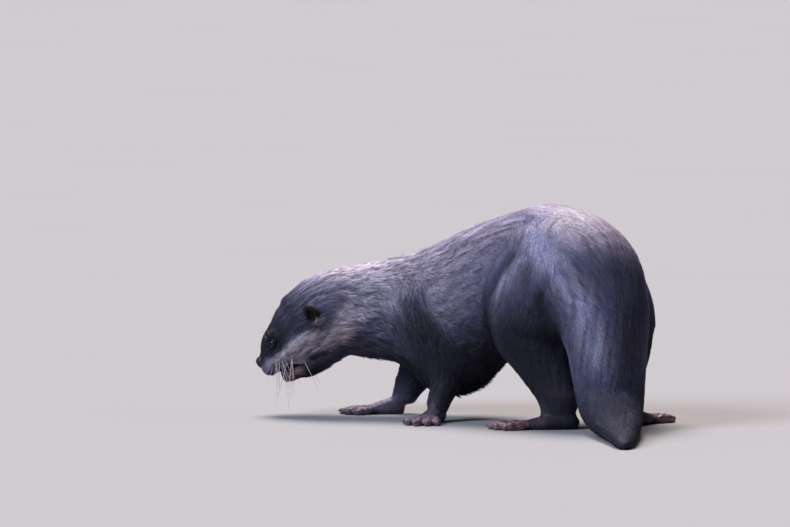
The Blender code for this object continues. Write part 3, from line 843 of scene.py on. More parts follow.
@dataclass(frozen=True)
class PeltFinish:
    """The wet pelt: its markings, its wet locks and the gleam of its guard hairs, with painted
    sheen and painted shade in its colour.
    """

    flank: Colour = tone(0.108, 0.097, 0.162)
    cool: Colour = tone(0.066, 0.077, 0.172)
    # The painted sheen where the wet coat faces up, on the nape and along the gleaming bands.
    painted_sheen: Colour = tone(0.560, 0.480, 0.580)
    # Near black for the painted shade, the dark markings and the pad's spots.
    dark: Colour = tone(0.0050, 0.0060, 0.0095)
    # The bluer painted sheen down the tail.
    blue_sheen: Colour = tone(0.400, 0.410, 0.680)
    pale: Colour = tone(0.680, 0.560, 0.660)
    dim_tips: Colour = tone(0.210, 0.210, 0.360)
    # Painted highlight on the tufts' tips under the painted sheen, and its bluer form down the
    # tail.
    bright_tips: Colour = tone(0.920, 0.830, 0.930)
    blue_sheen_tips: Colour = tone(0.700, 0.720, 1.000)
    bare: Colour = tone(0.215, 0.135, 0.155)
    bare_hind: Colour = tone(0.215, 0.105, 0.110)
    bare_dark: Colour = tone(0.060, 0.040, 0.052)
    lips: Colour = tone(0.270, 0.150, 0.115)
    # Painted shade, near black, in the mouth's slit and the ears' hollows.
    hollow_shade: Colour = tone(0.006, 0.003, 0.003)
    # The sizes of its grains in millimetres.
    blotches: float = 34.0
    flecks: float = 2.0
    spots: float = 3.4
    mottling: float = 5.0
    hairs: float = 0.9
    creases: float = 2.4
    # How much a millimetre counts for the hairs: along the lie of the coat, and across it.
    drawn: tuple[float, float] = (0.16, 1.0)

    def colour(self, shader: Shader) -> Value:
        """The markings that skin and coat share, with the painted sheen and the painted shade, each
        laid over the ones before it.

        Args:
            shader: the material that wears them.

        Returns:
            The colour.
        """
        at = shader.where()
        blotch = shader.ramp(shader.noise(at, self.blotches, 3.0), 0.35, 0.65)
        fleck = shader.ramp(shader.noise(at, self.flecks, 1.0), 0.32, 0.68)
        ground = shader.blend(blotch, self.flank, self.cool)
        # Painted sheen over the back, the nape and the gleaming bands, bluer down the tail.
        sheen_tone = shader.blend(shader.attribute("sheen"), self.painted_sheen, self.blue_sheen)
        ground = shader.blend(shader.attribute("painted_sheen") * (0.45 + 0.55 * fleck), ground, sheen_tone)
        ground = shader.blend(shader.attribute("pale") * (0.55 + 0.45 * fleck), ground, self.pale)
        # Painted shade together with the dark markings, then painted shade in the gaps between wet
        # locks.
        ground = shader.blend(shader.attribute("shadow"), ground, self.dark)
        ground = shader.blend(shader.attribute("gap_shade"), ground, self.dark)
        # Dark spots on the whisker pad.
        spots = 1 - shader.ramp(shader.cells(at, self.spots), 0.16, 0.34)
        ground = shader.blend(spots * shader.attribute("pad") * 0.9, ground, self.dark)
        # Bare skin, redder on the hind feet and mottled.
        naked = shader.blend(shader.attribute("ruddy"), self.bare, self.bare_hind)
        mottle = shader.ramp(shader.noise(at, self.mottling, 3.0), 0.40, 0.70)
        naked = shader.blend(mottle, naked, self.bare_dark)
        ground = shader.blend(shader.attribute("bare"), ground, naked)
        ground = shader.blend(shader.attribute("lips"), ground, self.lips)
        # Painted shade, near black, in the mouth's slit and the ears' hollows.
        return shader.blend(shader.attribute("hollow"), ground, self.hollow_shade)

    def on_skin(self) -> bpy.types.Material:
        """The pelt as the skin wears it, with short hair and wrinkles in relief.

        Returns:
            The material.
        """
        shader = Shader("skin")
        bare, hollow = shader.attribute("bare"), shader.attribute("hollow")
        # The hairs' noise is stretched along the lie of the coat.
        along, across = (share * MM for share in self.drawn)
        streaks = shader.node("ShaderNodeCombineXYZ", None, {
            0: shader.attribute("along") * along, 1: shader.attribute("across") * across})
        hairs = shader.noise(Value(shader, streaks.outputs[0]), self.hairs, 2.0)
        creases = shader.cells(shader.where(), self.creases)
        furred = 1 - bare
        relief = hairs * furred + creases * (1 - furred) * 0.8
        # Lighter streaks of hair with a painted gleam, held back where the coat is darkened and in
        # the hollows.
        gleam = furred * shader.ramp(hairs, 0.4, 0.75) * (1 - shader.attribute("shadow")) * 0.3
        gleam = gleam * (1 - hollow)
        shader.wear(Base_Color=shader.blend(gleam, self.colour(shader), self.dim_tips),
                    Roughness=0.55 - 0.17 * bare + 0.3 * hollow,
                    Coat_Weight=0.45 * bare, Coat_Roughness=0.26,
                    Normal=shader.bump(relief, 0.8, 0.35), Specular_IOR_Level=0.2)
        return shader.material

    def on_coat(self) -> bpy.types.Material:
        """The pelt as the tufts wear it, paler and glossier towards their tips, with a painted
        highlight on them under the painted sheen.

        Returns:
            The material.
        """
        shader = Shader("coat")
        tip, shade = shader.attribute("tip"), shader.attribute("shade")
        lit = 1 - shader.attribute("shadow") * 0.92
        colour = shader.blend((1 - tip) * 0.6, self.colour(shader), self.dark)
        # The tips are dim on the pelt and pale on the pale face; under the painted sheen they carry
        # a painted highlight.
        bright = shader.attribute("painted_sheen") + 0.7 * shader.attribute("pale")
        lightest = shader.blend(shader.attribute("sheen"), self.bright_tips, self.blue_sheen_tips)
        tips = shader.blend(bright, self.dim_tips, lightest)
        # The tips' gleam, partly paler guard hairs and partly painted highlight, is held back where
        # the coat is darkened and in the painted shade between locks.
        gleam = tip * shade * lit * (1 - 0.8 * shader.attribute("gap_shade"))
        shader.wear(Base_Color=shader.blend(gleam, colour, tips),
                    Roughness=0.46 - 0.16 * shade + 0.34 * shader.attribute("shadow"),
                    Specular_IOR_Level=0.3)
        return shader.material


@dataclass(frozen=True)
class EyeFinish:
    """A dark, wet eye."""

    iris: Colour = tone(0.013, 0.007, 0.005)
    pupil: Colour = tone(0.003, 0.002, 0.002)
    rays: float = 0.5
    # Where the pupil and the iris end, from the eye's axis out.
    pupil_edge: tuple[float, float] = (0.30, 0.42)
    iris_edge: tuple[float, float] = (0.72, 0.84)

    def made(self) -> bpy.types.Material:
        """The finish as a material.

        Returns:
            The material.
        """
        shader = Shader("eye")
        ring = shader.attribute("from_axis")
        rays = shader.noise(shader.where(), self.rays, 2.0)
        iris = shader.blend(shader.ramp(rays, 0.3, 0.7), self.pupil, self.iris)
        rimmed = shader.blend(shader.ramp(ring, *self.iris_edge), iris, self.pupil)
        outside = shader.ramp(ring, *self.pupil_edge)
        shader.wear(Base_Color=shader.blend(outside, self.pupil, rimmed),
                    Roughness=0.04, Specular_IOR_Level=0.45, IOR=1.38)
        return shader.material


@dataclass(frozen=True)
class NoseFinish:
    """The nose's dark, pebbled leather."""

    leather: Colour = tone(0.010, 0.009, 0.012)
    worn: Colour = tone(0.026, 0.022, 0.027)
    pebbles: float = 0.75

    def made(self) -> bpy.types.Material:
        """The finish as a material.

        Returns:
            The material.
        """
        shader = Shader("nose")
        at = shader.where()
        pebbles = shader.cells(at, self.pebbles)
        colour = shader.blend(shader.ramp(pebbles, 0.1, 0.7), self.worn, self.leather)
        shader.wear(Base_Color=colour, Specular_IOR_Level=0.28,
                    Roughness=0.34 + 0.25 * shader.noise(at, 1.5),
                    Normal=shader.bump(pebbles, 0.6, -0.16))
        return shader.material


@dataclass(frozen=True)
class HornFinish:
    """Claws: dark brown horn with fine lengthwise grain."""

    root: Colour = tone(0.090, 0.058, 0.052)
    end: Colour = tone(0.120, 0.092, 0.082)
    grain: float = 0.45

    def made(self) -> bpy.types.Material:
        """The finish as a material.

        Returns:
            The material.
        """
        shader = Shader("horn")
        grain = shader.noise(shader.where(), self.grain, 3.0)
        shader.wear(Base_Color=shader.blend(shader.attribute("tip"), self.root, self.end),
                    Roughness=0.28 + 0.2 * grain, Normal=shader.bump(grain, 0.35, 0.08))
        return shader.material


@dataclass(frozen=True)
class WhiskerFinish:
    """Stiff pale whiskers, duller at the root."""

    root: Colour = tone(0.48, 0.44, 0.45)
    shaft: Colour = tone(0.62, 0.59, 0.60)

    def made(self) -> bpy.types.Material:
        """The finish as a material.

        Returns:
            The material.
        """
        shader = Shader("whisker")
        tip = shader.attribute("tip")
        shader.wear(Base_Color=shader.blend(shader.ramp(tip, 0.0, 0.2), self.root, self.shaft),
                    Roughness=0.30 + 0.1 * shader.noise(shader.where(), 2.0))
        return shader.material


# -------------------------------------------------------------------------------------------- skin
@dataclass
class Lay:
    """How the coat lies at every point of the skin."""

    flow: np.ndarray
    pelt: np.ndarray
    limb: np.ndarray
    along: np.ndarray
    angle: np.ndarray
    girth: np.ndarray

    @property
    def bare(self) -> np.ndarray:
        """How bare the skin is, from 0 to 1."""
        return self.pelt[:, 4]


@dataclass
class Hollow:
    """An ellipsoid pressed into the skin along a way."""

    frame: Matrix
    radii: Triple
    way: Vector

    def press(self, points: np.ndarray) -> np.ndarray:
        """How far each point has to move along the way to leave the ellipsoid by its far side.

        Args:
            points: rows of coordinates.

        Returns:
            The distance for each point, 0 outside the ellipsoid.
        """
        inverse = np.array((self.frame @ Matrix.Diagonal((*self.radii, 1))).inverted())
        local = points @ inverse[:3, :3].T + inverse[:3, 3]
        way = inverse[:3, :3] @ np.array(self.way.normalized())
        square, cross = way @ way, local @ way
        inside = (local ** 2).sum(axis=1) - 1
        root = np.sqrt(np.maximum(cross ** 2 - square * inside, 0))
        return np.where(inside < 0, (-cross + root) / square, 0)


@dataclass
class Skin:
    """The one skin over the whole otter."""

    body: Body
    coarse: float = 1.8
    fine: float = 1.55
    # The lids: how thick they are, the half width and height of their opening, and its slant.
    lid_thick: float = 0.55
    opening: tuple[float, float] = (4.2, 2.7)
    slant: float = 14.0
    # How far from the eye they reach, the way they face, the height of their rim, and how deep
    # the skin sinks into the eye inside them.
    lid_reach: float = 11.0
    lid_way: Triple = (-0.36, 1.0, 0.10)
    rim_height: float = 0.55
    lid_sunk: float = 1.3
    # An ear: its middle in the head, its radii, and its turn and lean in degrees.
    ear_at: Triple = (1.5, 38.0, 3.5)
    ear_radii: Triple = (5.6, 10.4, 13.0)
    ear_turn: float = 38.0
    ear_lean: float = 24.0
    # Its hollow: the middle and radii of the form that is pressed in, the way and the depth.
    hollow_at: Triple = (-4.6, 3.2, 1.6)
    hollow_radii: Triple = (5.4, 7.2, 8.6)
    hollow_way: Triple = (0.9, -0.45, -0.1)
    hollow_depth: float = 5.2
    # Forms in the middle of the muzzle: their places and radii, back, to the side and up.
    muzzle: tuple[tuple[Triple, Triple], ...] = (
        ((-53.0, 0.0, -25.0), (15.0, 10.5, 6.0)),
        ((-64.5, 0.0, -3.6), (9.2, 12.0, 9.4)),
        ((-68.2, 0.0, -9.8), (9.4, 8.0, 6.8)))
    # Two lines along the side of the head: how far forward, and how high there.
    mouth_line: tuple[tuple[float, ...], tuple[float, ...]] = (
        (36, 41, 55, 66, 70), (-32.0, -30.5, -23.5, -24.5, -24.0))
    pale_line: tuple[tuple[float, ...], tuple[float, ...]] = (
        (-60, -22, -9, 5, 17, 33, 46, 62, 66, 72),
        (-2, -11, -15, -12, -4, -3, -5.5, -5.5, -4, -7))
    mouth_depth: float = 3.2
    # The soles: how high they lie, and the height under which they are pressed flat.
    sole_height: float = 0.25
    sole_press: float = 1.6
    grain: Grain = field(default_factory=lambda: Grain(11))
    bands: tuple[Band, ...] = (
        # The fold in front of the left thigh, darkened with painted shade, and the lit swell behind
        # it with a painted sheen.
        Band(Side.LEFT, ((57, 181), (43, 161), (33, 136), (31, 110), (39, 84)), width=5.0,
             depth=2.1, shade=0.65),
        Band(Side.LEFT, ((65, 177), (52, 158), (42, 135), (40, 110), (47, 86)), width=6.5,
             depth=-1.2, sheen=0.6),
        # The hollow between the thigh and the tail, pressed in and darkened with painted shade.
        Band(Side.LEFT, ((83, 140), (88, 120), (96, 103), (106, 88)), width=10.0, depth=2.6,
             shade=0.92),
        # A painted sheen over the rump and down the tail, and painted shade on the dim side of the
        # tail behind it.
        Band(Side.LEFT, ((76, 212), (99, 170), (129, 128), (142, 88), (151, 52), (156, 25)),
             width=15.0, sheen=0.85),
        Band(Side.LEFT, ((199, 172), (190, 132), (182, 92), (177, 55)), width=15.0, shade=0.5),
        # The crease between the throat and the left foreleg, darkened with painted shade.
        Band(Side.LEFT, ((-54, 102), (-47, 84), (-41, 66), (-34, 50)), width=11.0, depth=1.6,
             shade=0.95),
        # The fold in front of the right thigh, which is seen from behind, darkened with painted
        # shade.
        Band(Side.RIGHT, ((-60, 184), (-40, 152), (-25, 120), (-19, 96), (-31, 75)), width=5.0,
             depth=2.2, shade=0.5))

    def build(self) -> None:
        """Grows the skin, works out how the coat lies on it, and sculpts it."""
        mesh = self._grown()
        self._refine(mesh)
        self.surface = Surface.of(mesh)
        LOG.info("skin grown: %d points", len(self.surface.points))
        self.lay = self._lay()
        self._sculpt()
        mesh.vertices.foreach_set("co", self.surface.points.astype(np.float32).ravel())
        mesh.update()
        mesh.shade_smooth()
        self.marks = self._marks()
        mark(mesh, self.marks)
        self.mesh = mesh

    def nearness(self, band: Band, normals: np.ndarray) -> np.ndarray:
        """How near each point lies to the course of a band.

        Args:
            band: the band.
            normals: the skin's normals.

        Returns:
            From 1 on the course to 0 away from it or on another side of the body.
        """
        points = self.surface.points
        left = band.side is Side.LEFT
        seen = points[:, [0, 2]] if left else points[:, [1, 2]]
        facing = -normals[:, 1] if left else normals[:, 0] * (points[:, 0] > 120)
        least = np.full(len(points), FAR)
        for start, end in zip(band.course, band.course[1:]):
            start, way = np.array(start), np.subtract(end, start)
            share = np.clip((seen - start) @ way / (way @ way), 0, 1)
            least = np.minimum(least, ((seen - start - share[:, None] * way) ** 2).sum(axis=1))
        return np.exp(-least / band.width ** 2) * step(0.05, 0.45, facing)

    def head_points(self) -> tuple[np.ndarray, np.ndarray, np.ndarray]:
        """Every point's place in the head: forward, side (right positive) and up.

        Returns:
            The three coordinates.
        """
        back, side, up = within(self.body.head_frame(), self.surface.points).T
        return -back, side, up

    def _ear_frame(self, side: Side) -> Matrix:
        """An ear's place: x back, y outward for the right one, z up.

        Args:
            side: which ear.

        Returns:
            Its frame, at the middle of the ear.
        """
        hand = side.value
        back, out, up = self.ear_at
        return (self.body.head_frame() @ Matrix.Translation((back, hand * out, up))
                @ Matrix.Rotation(-hand * math.radians(self.ear_turn), 4, "Z")
                @ Matrix.Rotation(-hand * math.radians(self.ear_lean), 4, "X"))

    def _grown(self) -> bpy.types.Mesh:
        """The body's soft forms, then the face, ears and feet, grown into one.

        Returns:
            The mesh, with no lids, lips or folds yet.
        """
        form = bmesh.new()
        loft(form, self.body.spine_rings()[0], steps=5, sides=40)
        for name in self.body.legs():
            loft(form, self.body.leg_rings(name)[0], sides=24)
        trunk = grown(form, self.coarse, 0.6, 30)
        form = bmesh.new()
        head = bmesh.new()
        loft(head, self.body.jaw)
        for (forward, up, side), (long, high, wide) in self.body.face:
            for hand in (-1, 1):
                ball(head, Matrix.Translation((-forward, hand * side, up)), (long, wide, high))
        for at, radii in self.muzzle:
            ball(head, Matrix.Translation(at), radii)
        join_into(form, head, self.body.head_frame())
        for side in Side:
            ball(form, self._ear_frame(side), self.ear_radii)
        for name in self.body.feet():
            foot = bmesh.new()
            loft(foot, self.body.sole_rings(name), sides=20)
            for i in range(TOES_A_FOOT):
                loft(foot, self.body.toe_rings(name, i), sides=14)
            join_into(form, foot, self.body.foot_frame(name))
        form.from_mesh(trunk)
        bpy.data.meshes.remove(trunk)
        return grown(form, self.fine, 0.5, 4)

    def _refine(self, mesh: bpy.types.Mesh) -> None:
        """Gives the head and the feet a finer mesh, and the eyes the finest.

        Args:
            mesh: the skin's mesh, which it changes.
        """
        inverse = self.body.head_frame().inverted()
        feet = [self.body.foot_frame(name).inverted() for name in self.body.feet()]
        eyes = [self.body.eye_point(side) for side in Side]

        def on_foot(point: Vector) -> bool:
            """Whether a point lies on a foot."""
            return point.z < 15 and any(-100 < (foot @ point).x < 6 and abs((foot @ point).y) < 34
                                        for foot in feet)

        def on_detail(point: Vector) -> bool:
            """Whether a point lies on the head or on a foot."""
            return -90 < (inverse @ point).x < 8 or on_foot(point)

        def at_eye(point: Vector) -> bool:
            """Whether a point lies close to an eye."""
            return any((point - eye).length < 9.5 for eye in eyes)

        form = bmesh.new()
        form.from_mesh(mesh)
        for test in (on_detail, at_eye):
            chosen = {vertex for vertex in form.verts if test(vertex.co)}
            edges = [edge for edge in form.edges if chosen.issuperset(edge.verts)]
            bmesh.ops.subdivide_edges(form, edges=edges, cuts=1, use_grid_fill=True)
        bmesh.ops.triangulate(form, faces=[face for face in form.faces if len(face.verts) > 4])
        form.to_mesh(mesh)
        form.free()

    def _lay(self) -> Lay:
        """Blends the ways and the coat of the rings near each point of the skin.

        Returns:
            The way, the coat and the nearest limb at each point.
        """
        points = self.surface.points
        count = len(points)
        total, flow = np.zeros(count), np.zeros((count, 3))
        pelt, nearest = np.zeros((count, len(Pelt._fields))), np.full(count, FAR)
        limb, along = np.zeros(count, int), np.zeros(count)
        angle, girth = np.zeros(count), np.zeros(count)
        for number, (rings, pelts, steps, pull) in enumerate(self._lines()):
            rows = between(rings, steps)
            shares = np.arange(len(rows)) / steps
            coats = np.array([np.interp(shares, np.arange(len(pelts)), column)
                              for column in zip(*pelts)]).T
            gone = 0.0
            for i, row in enumerate(rows):
                way, side, up = (np.array(axis) for axis in ring_axes(rows, i))
                gone += (Vector(row[:3]) - Vector(rows[max(i - 1, 0)][:3])).length
                offset = points - np.array(row[:3])
                far, across, high = offset @ way, offset @ side, offset @ up
                reach = np.where(high > 0, row.top, row.bottom)
                mean = (row.side + row.top) / 2
                square = (across / row.side) ** 2 + (high / reach) ** 2 + (far / mean) ** 2
                square *= pull ** 2
                weight = 1 / (square ** 4 + 1e-4)
                total += weight
                flow += weight[:, None] * way
                pelt += weight[:, None] * coats[i]
                better = square < nearest
                nearest = np.where(better, square, nearest)
                limb[better] = number
                along[better] = (gone + far)[better]
                angle[better] = np.arctan2(across, high)[better]
                girth[better] = mean
        normals = self.surface.normals()
        pelt /= total[:, None]
        flow = unit(flow / total[:, None])
        flow[:, 2] -= pelt[:, 3] * (1 - np.abs(normals[:, 2]))
        for _ in range(4):
            flow = self.surface.blurred(flow, 9)
            flow = unit(flow - (flow * normals).sum(axis=1)[:, None] * normals)
        return Lay(flow, self.surface.blurred(pelt, 4), limb, along, angle,
                   self.surface.blurred(girth, 20))

    def _lines(self) -> Iterator[tuple[list[Ring], list[Pelt], int, float]]:
        """The centre lines of the spine, the legs and the toes: rings, coat, steps and pull.

        Returns:
            The rings, their coat, the steps to a span and how far each line's hold reaches.
        """
        yield *self.body.spine_rings(), 4, 1.0
        for name in self.body.legs():
            yield *self.body.leg_rings(name), 3, 0.72
        for name in self.body.feet():
            frame = self.body.foot_frame(name)
            heading = self.body.feet()[name][2]
            naked = 0.75 if name.startswith("fore") else 0.95
            for i in range(TOES_A_FOOT):
                toe = self.body.toe_rings(name, i)[::-1]
                heel = Ring(2, 0, 8, 0, 10, 10, 8)
                rings = [Ring(*(frame @ Vector(ring[:3])), heading + ring.yaw, *ring[4:])
                         for ring in (heel, *toe)]
                coat = [Pelt(2.4, 0.4, 0.2, 0, 0.35)] + [Pelt(1.3, 0.2, 0, 0, naked)] * len(toe)
                yield rings, coat, 2, 0.9

    def _sculpt(self) -> None:
        """Draws the skin in by the coat's depth, and works the face, ears, folds and toes."""
        surface, pelt = self.surface, self.lay.pelt
        ankles = 0.5 * step(8, 16, surface.points[:, 2]) * step(38, 26, surface.points[:, 2])
        ankles *= self.lay.limb != SPINE
        surface.points[:] = surface.blurred(surface.points, 30, ankles)
        normals = surface.blurred(surface.normals(), 2)
        points = surface.points
        self.lips, self.hollow = np.zeros(len(points)), np.zeros(len(points))
        self.ear, self.lobe = np.zeros(len(points)), np.zeros(len(points))
        self.rim = np.zeros(len(points))
        relief = self._folds(normals) - pelt[:, 1]
        near = [self.nearness(band, normals) for band in self.bands]
        pairs = list(zip(self.bands, near))
        relief -= sum(share * band.depth for band, share in pairs)
        # The bands' painted shade and painted sheen.
        self.shade = np.maximum.reduce([share * band.shade for band, share in pairs])
        self.sheen = np.maximum.reduce([share * band.sheen for band, share in pairs])
        points += normals * relief[:, None]
        self._hollow_shade()
        for side in Side:
            self._ear(side)
            self._lids(side)
        points[:, 2] = np.maximum(points[:, 2], self.sole_height)
        flat = (points[:, 2] < self.sole_press) & (normals[:, 2] < -0.3)
        points[:, 2] = np.where(flat, self.sole_height, points[:, 2])

    def _folds(self, normals: np.ndarray) -> np.ndarray:
        """The height of locks, folds and wrinkles over the skin.

        Args:
            normals: the skin's normals.

        Returns:
            The height at each point.
        """
        points, lay = self.surface.points, self.lay
        wander = self.grain(points, 16.0) * 5
        strip = np.stack([lay.along + wander, lay.angle * lay.girth + wander * 0.8
                          - lay.along * 0.35 * lay.pelt[:, 3] * np.sign(lay.angle)], axis=1)
        self.locks = self.grain(strip, (15.0, 3.6)) + 0.6 * self.grain(strip + 70, (8.0, 2.1))
        height = self.locks * 0.9 * lay.pelt[:, 2] * (1 - lay.bare)
        wrinkles = self.grain(points, 1.7) + 0.7 * self.grain(points + 40, 0.95)
        height += 0.16 * wrinkles * lay.bare
        return height

    def _hollow_shade(self) -> None:
        """Presses the mouth line in, from the chin to its corner."""
        forward, _, up = self.head_points()
        line = np.interp(forward, *self.mouth_line)
        near = np.abs(up - line)
        open_mouth = step(37, 42, forward) * (1 - step(69, 72, forward))
        groove = open_mouth * np.exp(-(near / (1.5 + 0.9 * step(44, 52, forward))) ** 2)
        normals = self.surface.normals()
        self.surface.points -= normals * (groove * self.mouth_depth)[:, None]
        # The groove is marked for painted shade.
        self.hollow = np.maximum(self.hollow, groove ** 0.7)
        below = step(0.5, 2.5, line - up) * (1 - step(9, 14, line - up))
        self.lips = np.maximum(self.lips, open_mouth * step(42, 49, forward) * below)

    def _ear(self, side: Side) -> None:
        """Presses the hollow into an ear.

        Args:
            side: which ear.
        """
        frame, mirror = self._ear_frame(side), Vector((1, side.value, 1))
        at = frame @ Matrix.Translation(Vector(self.hollow_at) * mirror)
        way = frame.to_3x3() @ (Vector(self.hollow_way) * mirror)
        hollow = Hollow(at, self.hollow_radii, way)
        depth = np.minimum(hollow.press(self.surface.points), self.hollow_depth)
        self.surface.points += depth[:, None] * np.array(way.normalized())
        # The hollow is marked for painted shade.
        self.hollow = np.maximum(self.hollow, step(0.2, 1.8, depth))
        back, out, up = within(frame, self.surface.points).T
        near = 1 - step(0.9, 1.25, np.sqrt((back / 7) ** 2 + (out / 11.5) ** 2 + (up / 12.5) ** 2))
        lobe = near * step(-1.5, -5.5, up) * step(-2, 3, side.value * out)
        self.ear = np.maximum(self.ear, near * (1 - lobe))
        self.lips = np.maximum(self.lips, lobe * 0.3)
        self.lobe = np.maximum(self.lobe, lobe)

    def _lids(self, side: Side) -> None:
        """Wraps the skin over an eye, with an almond opening and a rim round it.

        Args:
            side: which eye.
        """
        at, radius = np.array(self.body.eye_point(side)), self.body.eye_radius
        turned = self.body.head_frame().to_3x3()
        mirror = Vector((1, side.value, 1))
        out = np.array((turned @ (Vector(self.lid_way) * mirror)).normalized())
        tilt = math.radians(self.slant)
        ahead = np.array(turned @ Vector((-math.cos(tilt), 0, -math.sin(tilt))))
        ahead -= ahead @ out * out
        ahead /= np.linalg.norm(ahead)
        over = np.cross(ahead, out) * side.value
        over = over if over[2] > 0 else -over
        offset = self.surface.points - at
        far = np.linalg.norm(offset, axis=1)
        close = (far < self.lid_reach) & (offset @ out > 0)
        # Places on the eye: along the opening, over it and outward, and 1 all along its edge.
        a, b, c = (offset @ axis for axis in (ahead, over, out))
        wide, high = self.opening
        edge = np.hypot(a / wide, b / (high * np.where(b > 0, 1.0, 0.85)))
        across = np.hypot(a, b)
        # Heights: the lids lie over the eye with a rim at the edge, and sink into it inside.
        ball_height = np.sqrt(np.maximum(radius ** 2 - across ** 2, 0))
        rim = np.exp(-((edge - 1.18) / 0.22) ** 2) * self.rim_height
        lid = ball_height + self.lid_thick + rim
        sunk = ball_height - self.lid_sunk
        shown = 1 - step(0.93, 1.07, edge)
        blend_out = 1 - step(1.25, 2.3, edge)
        aim = (1 - shown) * np.maximum(lid, 0) + shown * sunk
        aim = np.where(across < radius + 0.6, aim, np.maximum(aim, 1.0))
        move = (aim - c) * np.where(edge < 1, 1.0, blend_out)
        move = np.where(close, move, 0)
        move = np.where(across < radius * 1.15, move, move * 0.35)
        self.surface.points += move[:, None] * out
        self.rim = np.maximum(self.rim, np.where(close, 1 - step(1.5, 3.2, edge), 0))

    def _heels(self) -> np.ndarray:
        """How far each point lies within the furred dark heel of a hind foot.

        Returns:
            The share at each point.
        """
        dark = np.zeros(len(self.surface.points))
        for name in ("hindfoot_left", "hindfoot_right"):
            back, side, up = within(self.body.foot_frame(name), self.surface.points).T
            close = (np.abs(side) < 24) & (back < 26) & (up < 34)
            dark = np.maximum(dark, close * step(-36, -20, back))
        return dark * 0.9

    def _marks(self) -> dict[str, np.ndarray]:
        """The markings of the pelt, its painted shade and painted sheen, and the grain of the hair,
        at every point of the skin.

        Returns:
            Each marking by its name.
        """
        points, lay, blurred = self.surface.points, self.lay, self.surface.blurred
        x, y, z = points.T
        rise = blurred(self.surface.normals()[:, 2], 10)
        forward, side, up = self.head_points()
        ragged = self.grain(points, 7.0) * 2.5
        on_head = step(-62, -22, forward)
        # The pale side of the face runs from the lip under the eye and the ear to the throat.
        line = np.interp(forward, *self.pale_line)
        pale = step(-2, 4, line - up + ragged) * (1 - step(19, 33, line - up + ragged * 2))
        pale *= on_head * step(2, 9, np.abs(side)) * (1 - 0.6 * step(56, 66, forward))
        # The crown is dark above that line, most of all towards the eyes.
        crown = on_head * step(-4, 5, up - line + ragged) * step(-30, 10, forward)
        crown *= 0.70 + 0.28 * step(22, 44, forward)
        # Painted shade: belly, legs and tail darken towards the floor, and so does what faces down.
        on_leg = blurred(np.isin(lay.limb, list(LEGS)).astype(float), 24)
        on_tail = blurred(((lay.limb == SPINE) & (y < -118)).astype(float), 24)
        behind = step(-85, -35, x)
        low = step(128, 66, z + ragged * 2) * (1 - on_leg) + step(176, 98, z + ragged * 2) * on_leg
        low = np.where(on_tail > 0.01, low * (1 - on_tail) + on_tail * step(92, 25, z) * 0.8, low)
        on_neck = step(-152, -128, x) * step(-50, -75, x)
        under = step(0.1, -0.75, rise) * (1 - 0.75 * pale) * (1 - 0.5 * on_neck)
        # The painted shade together with the dark crown, lids, ears and heels, but little of it on
        # bare skin.
        heels = self._heels()
        shadow = np.maximum.reduce([crown, 0.97 * self.rim, 0.97 * under, low * 0.95 * behind,
                                    self.ear, self.shade, heels])
        shadow = blurred(np.clip(shadow, 0, 1), 3) * (1 - 0.8 * lay.bare * (1 - heels))
        # Painted sheen on the back where it faces up, on the nape and along the bands that gleam,
        # with little of it where the coat is darkened.
        mane = step(80, -30, x) * step(-150, -105, x) * step(70, 120, z)
        back = step(0.3, 0.98, rise + ragged * 0.02)
        painted_sheen = np.maximum(back, 0.8 * mane * step(-0.6, 0.6, rise))
        painted_sheen = np.maximum(painted_sheen, self.sheen) * (1 - 0.85 * shadow)
        painted_sheen *= 1 - 0.7 * on_head * step(-10, 12, forward)
        painted_sheen *= 1 - 0.8 * on_tail * step(90, 30, z)
        # Painted shade in the gaps between wet locks, and thinner painted shade along the fall of
        # the hair.
        wet = lay.pelt[:, 2] * (1 - lay.bare)
        strip = np.stack([lay.along, lay.angle * lay.girth], axis=1)
        streak = self.grain(strip + self.grain(points, 20.0)[:, None] * 3, (26.0, 2.8))
        gap_shade = np.maximum(step(0.25, -0.75, self.locks) * wet,
                         0.42 * step(0.15, -0.55, streak) * (1 - lay.bare) * (1 - self.ear))
        # The painted sheen is streaked along the fall of the hair too.
        painted_sheen *= 0.86 + 0.34 * streak
        # The whisker pad has a patch of dark spots.
        pad = step(50, 55, forward) * step(-6, -10, up) * step(-26, -22, up) * (np.abs(side) > 5)
        return {"pale": np.maximum(pale * (1 - self.ear), self.lobe), "shadow": shadow,
                "painted_sheen": painted_sheen, "sheen": self.sheen, "gap_shade": gap_shade, "pad": pad * (1 - self.lips),
                "bare": np.clip(lay.bare, 0, 1) * (1 - heels), "lips": self.lips,
                "hollow": self.hollow, "ruddy": step(0, 50, x),
                "along": blurred(lay.along, 6), "across": lay.angle * lay.girth}

    def dress(self, carcass: Carcass, finish: bpy.types.Material) -> None:
        """Makes the skin a piece in place of every node of flesh.

        Args:
            carcass: where the otter stands.
            finish: the skin's material.
        """
        flesh = ["head", "lower_jaw", "neck", "chest", "belly", "rump", "tail_base", "tail_middle",
                 "tail_tip"]
        for side in Side:
            flesh += [f"{part}_{side.word}" for part in
                      ("ear", "foreleg", "forefoot", "thigh", "shank", "hindfoot")]
        carcass.put(self.mesh, "skin", Slot.COAT, finish, *flesh)


